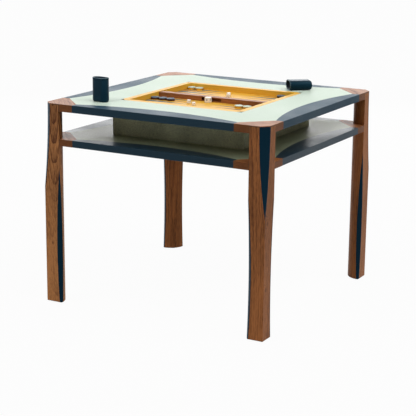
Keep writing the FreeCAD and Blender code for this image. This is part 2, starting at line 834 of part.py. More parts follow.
def dice_pair(label, places):
    pieces = []
    for index, (x, y, turn) in enumerate(places, start=1):
        die = cube(f"{label}_{index}", size("die_side"))
        place(die, FIELD_HALF * x, FIELD_HALF * y, FLOOR_Z + REST, turned(turn))
        pieces.append(die)
    keep(group(label, pieces))


def build_posts():
    glides = []
    for name, turn, x, y in CORNERS:
        place(keep(post(f"leg_{name}")), HALF_SIDE * x, HALF_SIDE * y, 0, turned(turn))
        skin = keep(post_corner_leather(f"leg_corner_leather_{name}"))
        place(skin, HALF_SIDE * x, HALF_SIDE * y, 0, turned(turn))
        sides = []
        for side, side_turn, shift in SIDE_SCOOPS:
            strip = post_side_leather(f"leg_side_leather_{name}_{side}", side_turn, shift)
            place(strip, HALF_SIDE * x, HALF_SIDE * y, 0, turned(turn))
            sides.append(strip)
        keep(group(f"leg_side_leathers_{name}", sides))
        disc = glide(f"glide_{name}")
        reach = HALF_SIDE - size("glide_place")
        place(disc, reach * x, reach * y, 0)
        glides.append(disc)
    keep(group("foot_glides", glides))


def build_bolts():
    bolts = []
    for name, turn, x, y in CORNERS:
        for level, height in (("top", TOP_BOLT_Z), ("shelf", SHELF_BOLT_Z)):
            bolt = corner_bolt(f"bolt_{level}_{name}")
            away = HALF_SIDE - BOLT_SEAT / ROOT2
            place(bolt, away * x, away * y, height, Rotation(Vector(0, 0, 1), Vector(x, y, 0)))
            bolts.append(bolt)
    keep(group("corner_bolts", bolts))


def build_well():
    walls = []
    cleats = []
    outer = WELL_HALF + WALL
    for name, turn, x, y in SIDES:
        wall = well_wall(f"well_wall_{name}")
        place(wall, outer * x, outer * y, 0, turned(turn))
        walls.append(wall)
    for name, turn, x, y in CORNERS:
        piece = cleat(f"cleat_{name}")
        place(piece, WELL_HALF * x, WELL_HALF * y, 0, turned(turn))
        cleats.append(piece)
    keep(group("well_walls", walls))
    keep(group("well_cleats", cleats))
    keep(well_skin("well_leather"))
    keep(well_floor("well_bottom"))
    keep(well_felt("well_felt"))


def build_tray():
    for name, turn, x, y in SIDES:
        rail = keep(tray_rail(f"tray_rail_{name}"))
        place(rail, TRAY_HALF * x, TRAY_HALF * y, 0, turned(turn))
    leaves = point_leaves()
    keep(tray_floor("tray_floor", leaves["blue"] + leaves["brown"]))
    keep(group("tray_points_blue", leaves["blue"]))
    keep(group("tray_points_brown", leaves["brown"]))
    keep(tray_bar("tray_bar"))


def build_loose_pieces():
    standing_cup()
    lying_cup()
    doubling = keep(cube("doubling_cube", size("cube_side")))
    before_bar = (size("bar_width") + size("cube_side")) / 2 + size("cube_room")
    place(doubling, FIELD_HALF * CUBE_SHARE, -before_bar, FLOOR_Z + REST)
    dice_pair("dice_front", FRONT_DICE_SHARES)
    dice_pair("dice_back", BACK_DICE_SHARES)
    near = 2
    far = POINTS_PER_QUARTER
    checker_row("checkers_blue_three", LONG_ROW_COUNT, -1, -1, near)
    checker_row("checkers_blue_two", SHORT_ROW_COUNT, 1, 1, far)
    checker_row("checkers_cream_three", LONG_ROW_COUNT, 1, -1, near)
    checker_row("checkers_cream_two", SHORT_ROW_COUNT, -1, 1, far)


def check_document():
    """Stop on any object that failed, and on any sub-part without a sound shape."""
    for item in doc.Objects:
        if "Invalid" in item.State or "Error" in item.State:
            raise RuntimeError(f"{item.Label} failed: {item.State}")
    for item in nodes:
        if item.Shape.isNull() or not item.Shape.isValid() or not item.Shape.Solids:
            raise RuntimeError(f"{item.Label} has no sound shape")


def write_files():
    os.makedirs("parts", exist_ok=True)
    for item in nodes:
        item.Shape.exportStep(os.path.join("parts", f"{item.Label}.step"))


build_posts()
slab("top", TOP_Z, size("top_thickness"), size("corner_cap"), opening=True)
slab("shelf", SHELF_Z, size("shelf_thickness"), 0, opening=False)
build_bolts()
build_well()
build_tray()
build_loose_pieces()
doc.recompute()
check_document()
write_files()
print(len(nodes), "sub-parts", sum(len(item.Shape.Solids) for item in nodes), "solids")
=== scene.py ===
import bmesh
import bpy
import math
from bpy.props import FloatProperty, FloatVectorProperty, PointerProperty
from mathutils import Matrix, Vector


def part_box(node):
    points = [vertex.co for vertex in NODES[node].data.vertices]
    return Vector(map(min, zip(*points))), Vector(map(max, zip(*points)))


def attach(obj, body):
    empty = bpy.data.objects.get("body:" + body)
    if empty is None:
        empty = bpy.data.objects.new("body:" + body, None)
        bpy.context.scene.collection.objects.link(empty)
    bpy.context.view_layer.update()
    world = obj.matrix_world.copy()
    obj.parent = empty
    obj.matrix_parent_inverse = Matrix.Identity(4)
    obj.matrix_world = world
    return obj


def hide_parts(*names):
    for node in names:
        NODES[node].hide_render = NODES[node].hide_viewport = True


# Looks of the games table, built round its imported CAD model. Metres, +Z up, -Y front.

bl_info = {
    "name": "Games Table",
    "version": (1, 0, 0),
    "blender": (4, 5, 0),
    "location": "3D View > Sidebar > Games Table",
    "description": "Finishes and loose pieces of a walnut and leather games table",
    "category": "Object",
}

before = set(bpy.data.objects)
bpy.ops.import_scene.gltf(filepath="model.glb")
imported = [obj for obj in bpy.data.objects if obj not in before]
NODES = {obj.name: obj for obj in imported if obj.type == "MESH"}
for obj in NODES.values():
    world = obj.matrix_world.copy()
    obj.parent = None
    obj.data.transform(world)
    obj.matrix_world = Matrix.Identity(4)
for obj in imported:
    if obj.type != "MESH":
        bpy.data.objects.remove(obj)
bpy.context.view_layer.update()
CORNERS = ("front_left", "front_right", "back_right", "back_left")
SIDES = ("front", "right", "back", "left")
UP = Vector((0, 0, 1))


# Settings

def colour(name, description, value):
    return FloatVectorProperty(
        name=name, description=description, default=value, subtype="COLOR", min=0, max=1
    )


def length(name, description, value):
    return FloatProperty(name=name, description=description, default=value, min=0, unit="LENGTH")


def amount(name, description, value):
    return FloatProperty(name=name, description=description, default=value, min=0)


class TableColours(bpy.types.PropertyGroup):
    walnut: colour("Walnut", "Body colour of the walnut", (0.36, 0.133, 0.043))
    walnut_gold: colour("Golden Walnut", "Body colour of the figured post", (0.48, 0.205, 0.072))
    walnut_dark: colour("Walnut Figure", "Dark lines in the walnut", (0.10, 0.036, 0.014))
    navy: colour("Navy Leather", "Edge bands, post skins and cups", (0.003, 0.017, 0.031))
    sage: colour("Sage Leather", "Field of the top and faces of the pale pieces", (0.56, 0.66, 0.56))
    olive: colour("Olive Leather", "Field of the shelf", (0.26, 0.30, 0.20))
    casing: colour("Casing Leather", "Casing of the well", (0.55, 0.58, 0.40))
    maple: colour("Maple", "Tray and playing floor", (0.77, 0.435, 0.048))
    maple_dark: colour("Maple Figure", "Dark lines in the maple", (0.56, 0.25, 0.02))
    blue_leaf: colour("Blue Leaf", "Dyed points of the field", (0.09, 0.135, 0.165))
    blue_figure: colour("Blue Leaf Figure", "Dark lines in the dyed points", (0.03, 0.05, 0.065))
    brown_leaf: colour("Brown Leaf", "Brown points of the field", (0.30, 0.14, 0.05))
    bone: colour("Bone", "Dice and doubling cube", (0.90, 0.86, 0.80))
    ink: colour("Ink", "Pips and numbers", (0.02, 0.02, 0.025))
    slate: colour("Slate Leather", "Faces of the dark pieces", (0.09, 0.13, 0.18))
    ebony: colour("Dark Wood", "Wood of the dark pieces", (0.045, 0.03, 0.026))
    # The cups' cut edge is lighter than their leather, both as the real cut edge and as a painted
    # highlight that the lip catches
    edge: colour("Cut Edge and Highlight", "Cut edges of the cups", (0.16, 0.23, 0.27))
    # Painted shade, laid on the tray's cut corners, the well behind them and the joints of the posts
    # with the corner blocks
    painted_shade: colour("Painted Shade", "Cut corners of the tray and the well behind them", (0.03, 0.035, 0.025))
    ply: colour("Ply", "Hidden panels and the well", (0.55, 0.38, 0.20))
    felt: colour("Felt", "Lining on the well's bottom", (0.05, 0.09, 0.07))
    suede: colour("Suede", "Inside of the cups", (0.012, 0.02, 0.032))
    thread: colour("Thread", "Stitches of the cups", (0.03, 0.06, 0.09))
    steel: colour("Steel", "Bolts", (0.55, 0.55, 0.56))
    nylon: colour("Nylon", "Glides under the posts", (0.03, 0.03, 0.03))
    floor: colour("Floor", "Studio floor", (0.40, 0.40, 0.40))


class TableDetails(bpy.types.PropertyGroup):
    eased_edge: length("Eased Edge", "Rounding of the wooden edges", 0.0008)
    rail_edge: length("Rail Edge", "Rounding of the tray's rails and bar", 0.001)
    cup_length: length("Cup Length", "Dice cup from end to end", 0.088)
    cup_breadth: length("Cup Breadth", "Dice cup, the wider way across", 0.066)
    cup_depth: length("Cup Depth", "Dice cup, the narrower way across", 0.037)
    cup_wall: length("Cup Wall", "Leather wall of a cup", 0.003)
    cup_bottom: length("Cup Bottom", "Closed end of a cup", 0.005)
    cup_lining: length("Cup Lining", "Suede inside a cup", 0.001)
    cup_round: length("Cup Rounding", "Rounding round a cup's closed end", 0.0085)
    cup_rim: length("Cup Rim", "Height of the turned rim of a cup", 0.007)
    cup_bead: length("Cup Bead", "How far the turned rim stands proud", 0.0003)
    stitch: length("Stitch", "Length of one stitch", 0.0026)
    stitch_pitch: length("Stitch Pitch", "Spacing of the stitches", 0.0038)
    piece_round: length("Piece Rounding", "Rounding of a playing piece", 0.0009)
    piece_face: length("Piece Face", "Thickness of a playing piece's leather face", 0.0028)
    piece_dish: length("Piece Dish", "Hollow of a playing piece's leather face", 0.0004)
    die_side: length("Die", "Side of a die", 0.0125)
    cube_side: length("Cube", "Side of the doubling cube", 0.020)
    pip: length("Pip", "Radius of a die's pips", 0.0012)


class StudioSettings(bpy.types.PropertyGroup):
    key: amount("Key", "Strength of the soft key light", 2.0)
    back: amount("Back", "Power of the soft panel behind the table", 84)
    fill: amount("Fill", "Strength of the soft fill light from the front", 1.25)
    sky: amount("Sky", "Strength of the world overhead", 0.30)
    horizon: amount("Horizon", "Strength of the world at the horizon", 0.05)
    veil: FloatProperty(
        name="Veil", description="How far the floor is whitened as it is seen", default=0.96,
        min=0, max=1, subtype="FACTOR",
    )


def colours():
    return bpy.context.scene.table_colours


def details():
    return bpy.context.scene.table_details


def studio():
    return bpy.context.scene.table_studio


# Node helpers

# Most of a noise's values lie in this span, round this middle
NOISE_SPAN = (0.3, 0.7)
NOISE_MIDDLE = 0.5


def shade(value):
    """A colour property as the four numbers that a socket takes."""
    return (*value[:3], 1.0)


def dimmed(value, share):
    """A darker shade of a colour."""
    return shade([channel * share for channel in value[:3]])


def wire(tree, node, inputs):
    """Give a node's inputs their values, or their links from other sockets."""
    for key, value in inputs.items():
        if isinstance(value, bpy.types.NodeSocket):
            tree.links.new(value, node.inputs[key])
        else:
            node.inputs[key].default_value = value


def add(tree, kind, inputs, **settings):
    """A new node with its settings and its inputs."""
    node = tree.nodes.new(kind)
    for name, value in settings.items():
        setattr(node, name, value)
    wire(tree, node, inputs)
    return node


def maths(tree, operation, first, second=0.0, clamp=False):
    inputs = {0: first, 1: second}
    return add(tree, "ShaderNodeMath", inputs, operation=operation, use_clamp=clamp).outputs[0]


def vector_maths(tree, operation, first, second=(0, 0, 0), output="Vector"):
    inputs = {0: first, 1: second}
    return add(tree, "ShaderNodeVectorMath", inputs, operation=operation).outputs[output]


def mixed(tree, factor, first, second, blend="MIX"):
    inputs = {0: factor, 6: first, 7: second}
    return add(tree, "ShaderNodeMix", inputs, data_type="RGBA", blend_type=blend).outputs[2]


def spread(tree, value, low, high, to_low=0.0, to_high=1.0):
    """A value carried from one span to another, and held at its ends."""
    inputs = {"Value": value, "From Min": low, "From Max": high, "To Min": to_low, "To Max": to_high}
    return add(tree, "ShaderNodeMapRange", inputs).outputs[0]


def noise(tree, place, scale, detail=2.0, output="Fac"):
    inputs = {"Vector": place, "Scale": scale, "Detail": detail}
    return add(tree, "ShaderNodeTexNoise", inputs).outputs[output]


def levelled(tree, value, to_low, to_high):
    """A noise carried from its usual span to another."""
    return spread(tree, value, *NOISE_SPAN, to_low, to_high)


def drawn_out(tree, place, share):
    """The same place with its Z drawn out, so that what is painted there runs along Z."""
    return add(tree, "ShaderNodeMapping", {"Vector": place, "Scale": (1, 1, share)}).outputs[0]


def fibres(tree, place, share, scale, detail):
    """Noise drawn out along Z."""
    return noise(tree, drawn_out(tree, place, share), scale, detail)


def parts_of(tree, socket):
    """The X, Y and Z of a place or of a direction."""
    return add(tree, "ShaderNodeSeparateXYZ", {0: socket}).outputs


# Sockets of the groups that aren't plain values
SOCKET_KINDS = {
    "Vector": "NodeSocketVector", "Place": "NodeSocketVector", "Color": "NodeSocketColor",
    "Light": "NodeSocketColor", "Dark": "NodeSocketColor",
}


def new_group(name, inputs, outputs):
    """A shader group with its interface, what it is given, and the node that puts out."""
    tree = bpy.data.node_groups.new(name, "ShaderNodeTree")
    for way, labels in (("INPUT", inputs), ("OUTPUT", outputs)):
        for label in labels:
            kind = SOCKET_KINDS.get(label, "NodeSocketFloat")
            tree.interface.new_socket(label, in_out=way, socket_type=kind)
    return tree, tree.nodes.new("NodeGroupInput").outputs, tree.nodes.new("NodeGroupOutput")


# Shader groups

# How far a knot is drawn out along the grain. Its reach and its core are in its own sizes.
KNOT_DRAW = 0.55
KNOT_REACH = 4.5
KNOT_FADE = 2.5
KNOT_PUSH = 3.0
KNOT_CORE = (0.35, 0.85)
KNOT_DARK = 0.9


def knot_group():
    """A knot: how far it swells the rings around it, and its dark core."""
    tree, given, made = new_group("Wood Knot", ("Vector", "Place", "Size"), ("Swell", "Core"))
    apart = vector_maths(tree, "SUBTRACT", given["Vector"], given["Place"])
    far = vector_maths(tree, "LENGTH", drawn_out(tree, apart, KNOT_DRAW), output="Value")
    near = maths(tree, "DIVIDE", far, given["Size"])
    swell = maths(tree, "POWER", spread(tree, near, 0, KNOT_REACH, 1, 0), KNOT_FADE)
    swell = maths(tree, "MULTIPLY", swell, maths(tree, "MULTIPLY", given["Size"], KNOT_PUSH))
    core = spread(tree, near, *KNOT_CORE, KNOT_DARK, 0)
    wire(tree, made, {"Swell": swell, "Core": core})
    return tree


# Noises that bend the growth rings: how far drawn out, scale and detail
RING_BENDS = {"Wave": (0.16, 14, 2), "Curl": (0.5, 38, 3)}
# How sharply a ring ends in its dark line
RING_EDGE = 2.6
# Layers of tone: how far drawn out, scale, detail, and what each adds at its ends. The first also
# gives the wood its relief.
WOOD_LAYERS = (
    ((0.035, 260, 4), 0.0, 0.36),
    ((0.14, 330, 3), -0.2, 0.24),
    ((0.16, 26, 3), -0.18, 0.26),
    ((0.1, 9, 2), -0.15, 0.2),
)
LAYER_SPAN = (0.35, 0.68)
LAYER_RELIEF = 0.3
PORES = (0.05, 1500, 2)
PORE_SPAN = (0.6, 0.72)
WOOD_ROUGHNESS = (0.40, 0.50)


def wood_group():
    """Growth rings along Z, with streaks, flecks, fine pores and darker end grain."""
    tree, given, made = new_group(
        "Wood Grain",
        ("Vector", "Light", "Dark", "Ring Width", "Wave", "Curl", "Figure", "Contrast", "Pores",
         "Swell", "Core", "End Grain"),
        ("Color", "Roughness", "Height"),
    )
    place = given["Vector"]
    squares = [maths(tree, "POWER", part, 2) for part in parts_of(tree, place)[:2]]
    radius = maths(tree, "SQRT", maths(tree, "ADD", *squares))
    for name, look in RING_BENDS.items():
        bend = maths(tree, "SUBTRACT", fibres(tree, place, *look), NOISE_MIDDLE)
        radius = maths(tree, "ADD", radius, maths(tree, "MULTIPLY", bend, given[name]))
    radius = maths(tree, "ADD", radius, given["Swell"])
    ring = maths(tree, "FRACT", maths(tree, "DIVIDE", radius, given["Ring Width"]))
    figure = maths(tree, "MULTIPLY", maths(tree, "POWER", ring, RING_EDGE), given["Figure"])
    layers = [(fibres(tree, place, *look), low, high) for look, low, high in WOOD_LAYERS]
    for value, low, high in layers:
        figure = maths(tree, "ADD", figure, spread(tree, value, *LAYER_SPAN, low, high))
    figure = maths(tree, "MULTIPLY", figure, given["Contrast"], clamp=True)
    figure = maths(tree, "MAXIMUM", figure, given["Core"])
    pores = spread(tree, fibres(tree, place, *PORES), *PORE_SPAN)
    pores = maths(tree, "MULTIPLY", pores, given["Pores"])
    tone = given["Light"]
    for mask in (figure, pores, given["End Grain"]):
        tone = mixed(tree, mask, tone, given["Dark"])
    rough = spread(tree, figure, 0, 1, *WOOD_ROUGHNESS)
    height = maths(tree, "SUBTRACT", maths(tree, "MULTIPLY", layers[0][0], LAYER_RELIEF), pores)
    wire(tree, made, {"Color": tone, "Roughness": rough, "Height": height})
    return tree


# Noises of the leather, scale and detail: what nudges its pebbles, and its slow and fine changes
NUDGE_NOISE = (300, 1)
SLOW_NOISE = (7, 4)
FINE_NOISE = (240, 3)
FINE_SHARE = 0.8
PEBBLE_NUDGE = (0.0012, 0.0012, 0.0012)
PEBBLE_EDGE = 0.75
# Below this height between the pebbles the leather darkens, down to this share of its colour
VALLEY_EDGE = 0.5
VALLEY_SHADE = 0.8
LEATHER_ROUGHNESS = (0.46, 0.58)


def leather_group():
    """Pebbled leather: small rounded cells, with a slow change of tone."""
    tree, given, made = new_group(
        "Leather Grain",
        ("Vector", "Color", "Pebble", "Mottle", "Polish"), ("Color", "Roughness", "Height"),
    )
    place = given["Vector"]
    nudge = noise(tree, place, *NUDGE_NOISE, "Color")
    moved = vector_maths(tree, "ADD", place, vector_maths(tree, "MULTIPLY", nudge, PEBBLE_NUDGE))
    inputs = {"Vector": moved, "Scale": given["Pebble"]}
    cells = add(tree, "ShaderNodeTexVoronoi", inputs, feature="SMOOTH_F1").outputs["Distance"]
    pebble = spread(tree, cells, 0.0, PEBBLE_EDGE, 1, 0)
    slow = noise(tree, place, *SLOW_NOISE)
    fine = levelled(tree, noise(tree, place, *FINE_NOISE), -FINE_SHARE, FINE_SHARE)
    change = maths(tree, "ADD", levelled(tree, slow, -1, 1), fine)
    worn = maths(tree, "MULTIPLY", change, given["Mottle"])
    inputs = {"Color": given["Color"], "Value": maths(tree, "ADD", 1.0, worn)}
    tone = add(tree, "ShaderNodeHueSaturation", inputs).outputs[0]
    deep = spread(tree, pebble, 0.0, VALLEY_EDGE, VALLEY_SHADE, 1.0)
    tone = mixed(tree, 1.0, tone, deep, "MULTIPLY")
    rough = maths(tree, "SUBTRACT", levelled(tree, slow, *LEATHER_ROUGHNESS), given["Polish"])
    wire(tree, made, {"Color": tone, "Roughness": rough, "Height": pebble})
    return tree


GROUPS = {"Wood Knot": knot_group, "Wood Grain": wood_group, "Leather Grain": leather_group}


def group_node(tree, name, inputs):
    """A node of a shader group, which is made when it is first asked for."""
    group = bpy.data.node_groups.get(name) or GROUPS[name]()
    return add(tree, "ShaderNodeGroup", inputs, node_tree=group)


# Materials

WOOD_GLOSS = 0.08
LEATHER_GLOSS = 0.12
CUP_GLOSS = 0.14
BAND_GLOSS = 0.2
SKIN_GLOSS = 0.07
NAVY_TINT = (0.35, 0.8, 1.0)
BAND_TINT = (0.75, 0.95, 1.0)
NO_TINT = (1.0, 1.0, 1.0)
HAZE = (0.28, 0.62, 0.92)
HAZE_ROUGHNESS = 0.35
WOOD_RELIEF = 0.00015
LEATHER_RELIEF = 0.00012
NAP_RELIEF = 0.0004
# Share of a wood's figure that is left where it has faded
FADED_SHARE = 0.2
# Cloud of a smooth stuff: scale and detail, span, darkest share of the colour, added roughness
CLOUD_NOISE = (90, 3)
CLOUD_SPAN = (0.35, 0.65)
CLOUD_SHADE = 0.86
CLOUD_ROUGHNESS = 0.1
NAP_NOISE = (1400, 3)
NAP_SHADE = 0.6
NAP_ROUGHNESS = 0.95
BRUSH_SCALE = 900
BRUSH_ROUGHNESS = (0.28, 0.4)


def new_material(name, gloss=0.5):
    """A material with a Principled BSDF, and object coordinates to paint from."""
    material = bpy.data.materials.new(name)
    material.use_nodes = True
    tree = material.node_tree
    shader = tree.nodes["Principled BSDF"]
    shader.inputs["Specular IOR Level"].default_value = gloss
    place = tree.nodes.new("ShaderNodeTexCoord").outputs["Object"]
    return material, tree, shader, place


def relief(tree, height, depth):
    """A normal that follows a height."""
    return add(tree, "ShaderNodeBump", {"Height": height, "Distance": depth}).outputs[0]


def finish_with(tree, shader, grain, depth):
    """Colour, roughness and relief of a grain group, wired into the shader."""
    tone, rough, height = grain.outputs
    normal = relief(tree, height, depth)
    wire(tree, shader, {"Base Color": tone, "Roughness": rough, "Normal": normal})


def wood(name, light, dark, aim, centre, ring=0.006, wave=0.03, curl=0.004, figure=0.5,
         contrast=0.9, pores=0.8, knots=(), fade=None):
    """A wood whose grain runs along a direction. Centre is a point on its rings' axis.

    Fade gives two heights, between which the figure grows to its full strength.
    """
    material, tree, shader, place = new_material(name, WOOD_GLOSS)
    aim = Vector(aim).normalized()
    turn = aim.rotation_difference(UP)
    shift = -(turn @ Vector(centre))
    laid = {"Vector": place, "Rotation": turn.to_euler(), "Location": shift}
    mapped = add(tree, "ShaderNodeMapping", laid).outputs[0]
    swell = 0.0
    core = 0.0
    for spot, size in knots:
        knot = group_node(
            tree, "Wood Knot", {"Vector": mapped, "Place": turn @ Vector(spot) + shift, "Size": size}
        )
        swell = maths(tree, "ADD", knot.outputs["Swell"], swell)
        core = maths(tree, "MAXIMUM", knot.outputs["Core"], core)
    if fade:
        height = parts_of(tree, place)[2]
        figure = spread(tree, height, *fade, figure * FADED_SHARE, figure)
    facing = tree.nodes.new("ShaderNodeTexCoord").outputs["Normal"]
    end = vector_maths(tree, "DOT_PRODUCT", facing, aim, output="Value")
    grain = group_node(
        tree, "Wood Grain",
        {"Vector": mapped, "Light": shade(light), "Dark": shade(dark), "Ring Width": ring,
         "Wave": wave, "Curl": curl, "Figure": figure, "Contrast": contrast, "Pores": pores,
         "Swell": swell, "Core": core, "End Grain": maths(tree, "ABSOLUTE", end)},
    )
    finish_with(tree, shader, grain, WOOD_RELIEF)
    return material


def walnut(name, aim, centre, light=None, **extra):
    light = colours().walnut if light is None else light
    return wood(name, light, colours().walnut_dark, aim, centre, **extra)


def maple(name, aim, centre):
    return wood(
        name, colours().maple, colours().maple_dark, aim, centre,
        ring=0.011, wave=0.05, contrast=0.5, pores=0.1,
    )


def ply(name, height):
    """Ply with its grain along X. Height tells one panel's figure from another's."""
    return wood(
        name, colours().ply, colours().maple_dark, (1, 0, 0.02), (0, 0, height),
        contrast=0.4, pores=0.2,
    )


# Where the tray's cut corners begin, as |x| + |y|, and how far off the mask of painted shade on them
# fades
NOTCH_REACH = 0.4805
NOTCH_FADE = 0.0002
# Where a post's inner sides and its head meet the corner blocks, and the line of painted shade along
# these joints: how far it reaches, the share of that at full strength, and its strength
JOINT_PLACE = 0.385
HEAD_PLACE = 0.7473
JOINT_LINE = 0.0022
JOINT_CORE = 0.6
JOINT_SHADE = 0.85
# Between these values of its normal's |z|, a face passes from a side to a flat
FLAT_SPAN = (0.2, 0.6)


def paint_shade(material, mask_of):
    """Paint shade over a material's colour where a mask of its object coordinates and normal is 1."""
    tree = material.node_tree
    shader = tree.nodes["Principled BSDF"]
    source = tree.nodes.new("ShaderNodeTexCoord").outputs
    bare = shader.inputs["Base Color"].links[0].from_socket
    tone = mixed(tree, mask_of(tree, source), bare, shade(colours().painted_shade))
    wire(tree, shader, {"Base Color": tone})
    return material


def notch_shade_mask(tree, source):
    """1 on the faces that the tray's corners are cut to, which get painted shade."""
    reaches = [maths(tree, "ABSOLUTE", part) for part in parts_of(tree, source["Object"])[:2]]
    return spread(tree, maths(tree, "ADD", *reaches), NOTCH_REACH - NOTCH_FADE, NOTCH_REACH)


def joint_shade_mask(tree, source):
    """Painted shade, up to its strength, along the upright joints of a corner block with its post."""
    mask = 0.0
    for part in parts_of(tree, source["Object"])[:2]:
        off = maths(tree, "SUBTRACT", maths(tree, "ABSOLUTE", part), JOINT_PLACE)
        near = spread(tree, maths(tree, "ABSOLUTE", off), JOINT_LINE * JOINT_CORE, JOINT_LINE, 1, 0)
        mask = maths(tree, "MAXIMUM", near, mask)
    flat = maths(tree, "ABSOLUTE", parts_of(tree, source["Normal"])[2])
    return maths(tree, "MULTIPLY", mask, spread(tree, flat, *FLAT_SPAN, JOINT_SHADE, 0))


def head_shade_mask(tree, source):
    """Painted shade, up to its strength, along the joint of a post's head with the block over it."""
    height = parts_of(tree, source["Object"])[2]
    return spread(tree, height, HEAD_PLACE - JOINT_LINE, HEAD_PLACE, 0, JOINT_SHADE)


def leather(name, tone, pebble=700, mottle=0.05, polish=0.0, depth=LEATHER_RELIEF,
            gloss=LEATHER_GLOSS, tint=NO_TINT):
    material, tree, shader, place = new_material(name, gloss)
    shader.inputs["Specular Tint"].default_value = shade(tint)
    grain = group_node(
        tree, "Leather Grain",
        {"Vector": place, "Color": shade(tone), "Pebble": pebble, "Mottle": mottle, "Polish": polish},
    )
    finish_with(tree, shader, grain, depth)
    return material


def navy_leather(name, tint=NAVY_TINT, haze=0.0, **extra):
    """Navy leather. Haze is the bluish bloom it shows when it is seen along its surface."""
    material = leather(name, colours().navy, tint=tint, **extra)
    tree = material.node_tree
    sheen = {"Sheen Weight": haze, "Sheen Roughness": HAZE_ROUGHNESS, "Sheen Tint": shade(HAZE)}
    wire(tree, tree.nodes["Principled BSDF"], sheen)
    return material


def polished(name, tone, roughness):
    """Smooth stuff with a faint cloud in its colour."""
    material, tree, shader, place = new_material(name)
    cloud = noise(tree, place, *CLOUD_NOISE)
    mask = spread(tree, cloud, *CLOUD_SPAN)
    tones = mixed(tree, mask, shade(tone), dimmed(tone, CLOUD_SHADE))
    rough = levelled(tree, cloud, roughness, roughness + CLOUD_ROUGHNESS)
    wire(tree, shader, {"Base Color": tones, "Roughness": rough})
    return material


def metal(name):
    """Bare metal with a fine change in its gloss."""
    material, tree, shader, place = new_material(name)
    brush = levelled(tree, noise(tree, place, BRUSH_SCALE), *BRUSH_ROUGHNESS)
    tone = shade(colours().steel)
    wire(tree, shader, {"Base Color": tone, "Metallic": 1, "Roughness": brush})
    return material


def nap(name, tone, fuzz=0.3):
    """Felt or suede: a soft nap of fine fibres."""
    material, tree, shader, place = new_material(name, LEATHER_GLOSS)
    fibre = noise(tree, place, *NAP_NOISE)
    tones = mixed(tree, fibre, dimmed(tone, NAP_SHADE), shade(tone))
    normal = relief(tree, fibre, NAP_RELIEF)
    wire(tree, shader, {"Base Color": tones, "Normal": normal})
    wire(tree, shader, {"Roughness": NAP_ROUGHNESS, "Sheen Weight": fuzz})
    return material


# CAD nodes

MERGE_ANGLE = math.radians(0.4)
EASE_ANGLE = math.radians(25)
EASE_STEPS = 2


def paint(node, material):
    """Give a CAD node its material in place of those it has."""
    slots = NODES[node].data.materials
    slots.clear()
    slots.append(material)


def ease(node, width=None):
    """Merge a CAD node's coplanar triangles, and round its sharp edges a little."""
    item = NODES[node]
    merge = item.modifiers.new("Merge", "DECIMATE")
    merge.decimate_type = "DISSOLVE"
    merge.angle_limit = MERGE_ANGLE
    bevel = item.modifiers.new("Ease", "BEVEL")
    bevel.width = details().eased_edge if width is None else width
    bevel.segments = EASE_STEPS
    bevel.limit_method = "ANGLE"
    bevel.angle_limit = EASE_ANGLE
    bevel.harden_normals = True


def middle_of(node):
    low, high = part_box(node)
    return (low + high) / 2


# Mesh helpers

SMOOTH_ANGLE = math.radians(40)


def new_object(name, data):
    item = bpy.data.objects.new(name, data)
    bpy.context.scene.collection.objects.link(item)
    return item


def worked_out(item):
    """A mesh of an object's shape, with its modifiers or its text worked out."""
    shape = item.evaluated_get(bpy.context.evaluated_depsgraph_get())
    return bpy.data.meshes.new_from_object(shape)


def mesh_object(name, bm, *materials):
    """A new object from a bmesh, smooth but for its sharp edges."""
    mesh = bpy.data.meshes.new(name)
    bmesh.ops.recalc_face_normals(bm, faces=bm.faces)
    bm.to_mesh(mesh)
    bm.free()
    item = new_object(name, mesh)
    for material in materials:
        mesh.materials.append(material)
    for polygon in mesh.polygons:
        polygon.use_smooth = True
    mesh.set_sharp_from_angle(angle=SMOOTH_ANGLE)
    return item


def skin_rings(bm, rings, slots, matrix):
    """Join rings of points by quads and close both ends. Slots gives each band's material."""
    made = [[bm.verts.new(matrix @ point) for point in ring] for ring in rings]
    count = len(made[0])
    for slot, low, high in zip(slots, made, made[1:]):
        for index in range(count):
            after = (index + 1) % count
            bm.faces.new((low[index], low[after], high[after], high[index])).material_index = slot
    bm.faces.new(made[0]).material_index = slots[0]
    bm.faces.new(made[-1]).material_index = slots[-1]


def whole_turn(steps):
    """Cosine and sine of the steps of a whole turn."""
    angles = [math.tau * step / steps for step in range(steps)]
    return [(math.cos(angle), math.sin(angle)) for angle in angles]


def quarter(steps):
    """Sine and one minus cosine, from 0 to a quarter turn, for rounding a profile's corner."""
    angles = [math.pi / 2 * step / steps for step in range(steps + 1)]
    return [(math.sin(angle), 1 - math.cos(angle)) for angle in angles]


def stand_in(piece, body, node):
    """The piece rides on a body and stands for a CAD node."""
    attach(piece, body)
    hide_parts(node)


# Stage

FLOOR_RADIUS = 40.0
FLOOR_SIDES = 96
FLOOR_GLOSS = 0.1
FLOOR_ROUGHNESS = 0.9
FLOOR_CLOUD = (0.5, 0.5, 0.5)
FLOOR_CLOUD_SCALE = 3
FLOOR_CLOUD_SHARE = 0.04
WHITE = (1.0, 1.0, 1.0, 1.0)
# Directions that the two soft suns shine from, how wide they are, and how far off they stand
KEY_FROM = Vector((0.70, -0.06, 1.0))
KEY_SPREAD = math.radians(50)
FILL_FROM = Vector((-0.30, -0.62, 0.72))
FILL_SPREAD = math.radians(40)
SUN_DISTANCE = 4
PANEL_PLACE = Vector((-1.7, 3.6, 1.75))
PANEL_TARGET = Vector((0, 0, 0.75))
PANEL_SIZE = (5.5, 2.2)
# The camera, from a fit of the photograph's perspective
CAMERA_PLACE = Vector((2.3569, -4.2851, 1.5626))
CAMERA_TURN = math.radians(28.993)
CAMERA_PITCH = math.radians(14.264)
CAMERA_ROLL = math.radians(0.559)
CAMERA_LENS = 114.716
CAMERA_SENSOR = 36


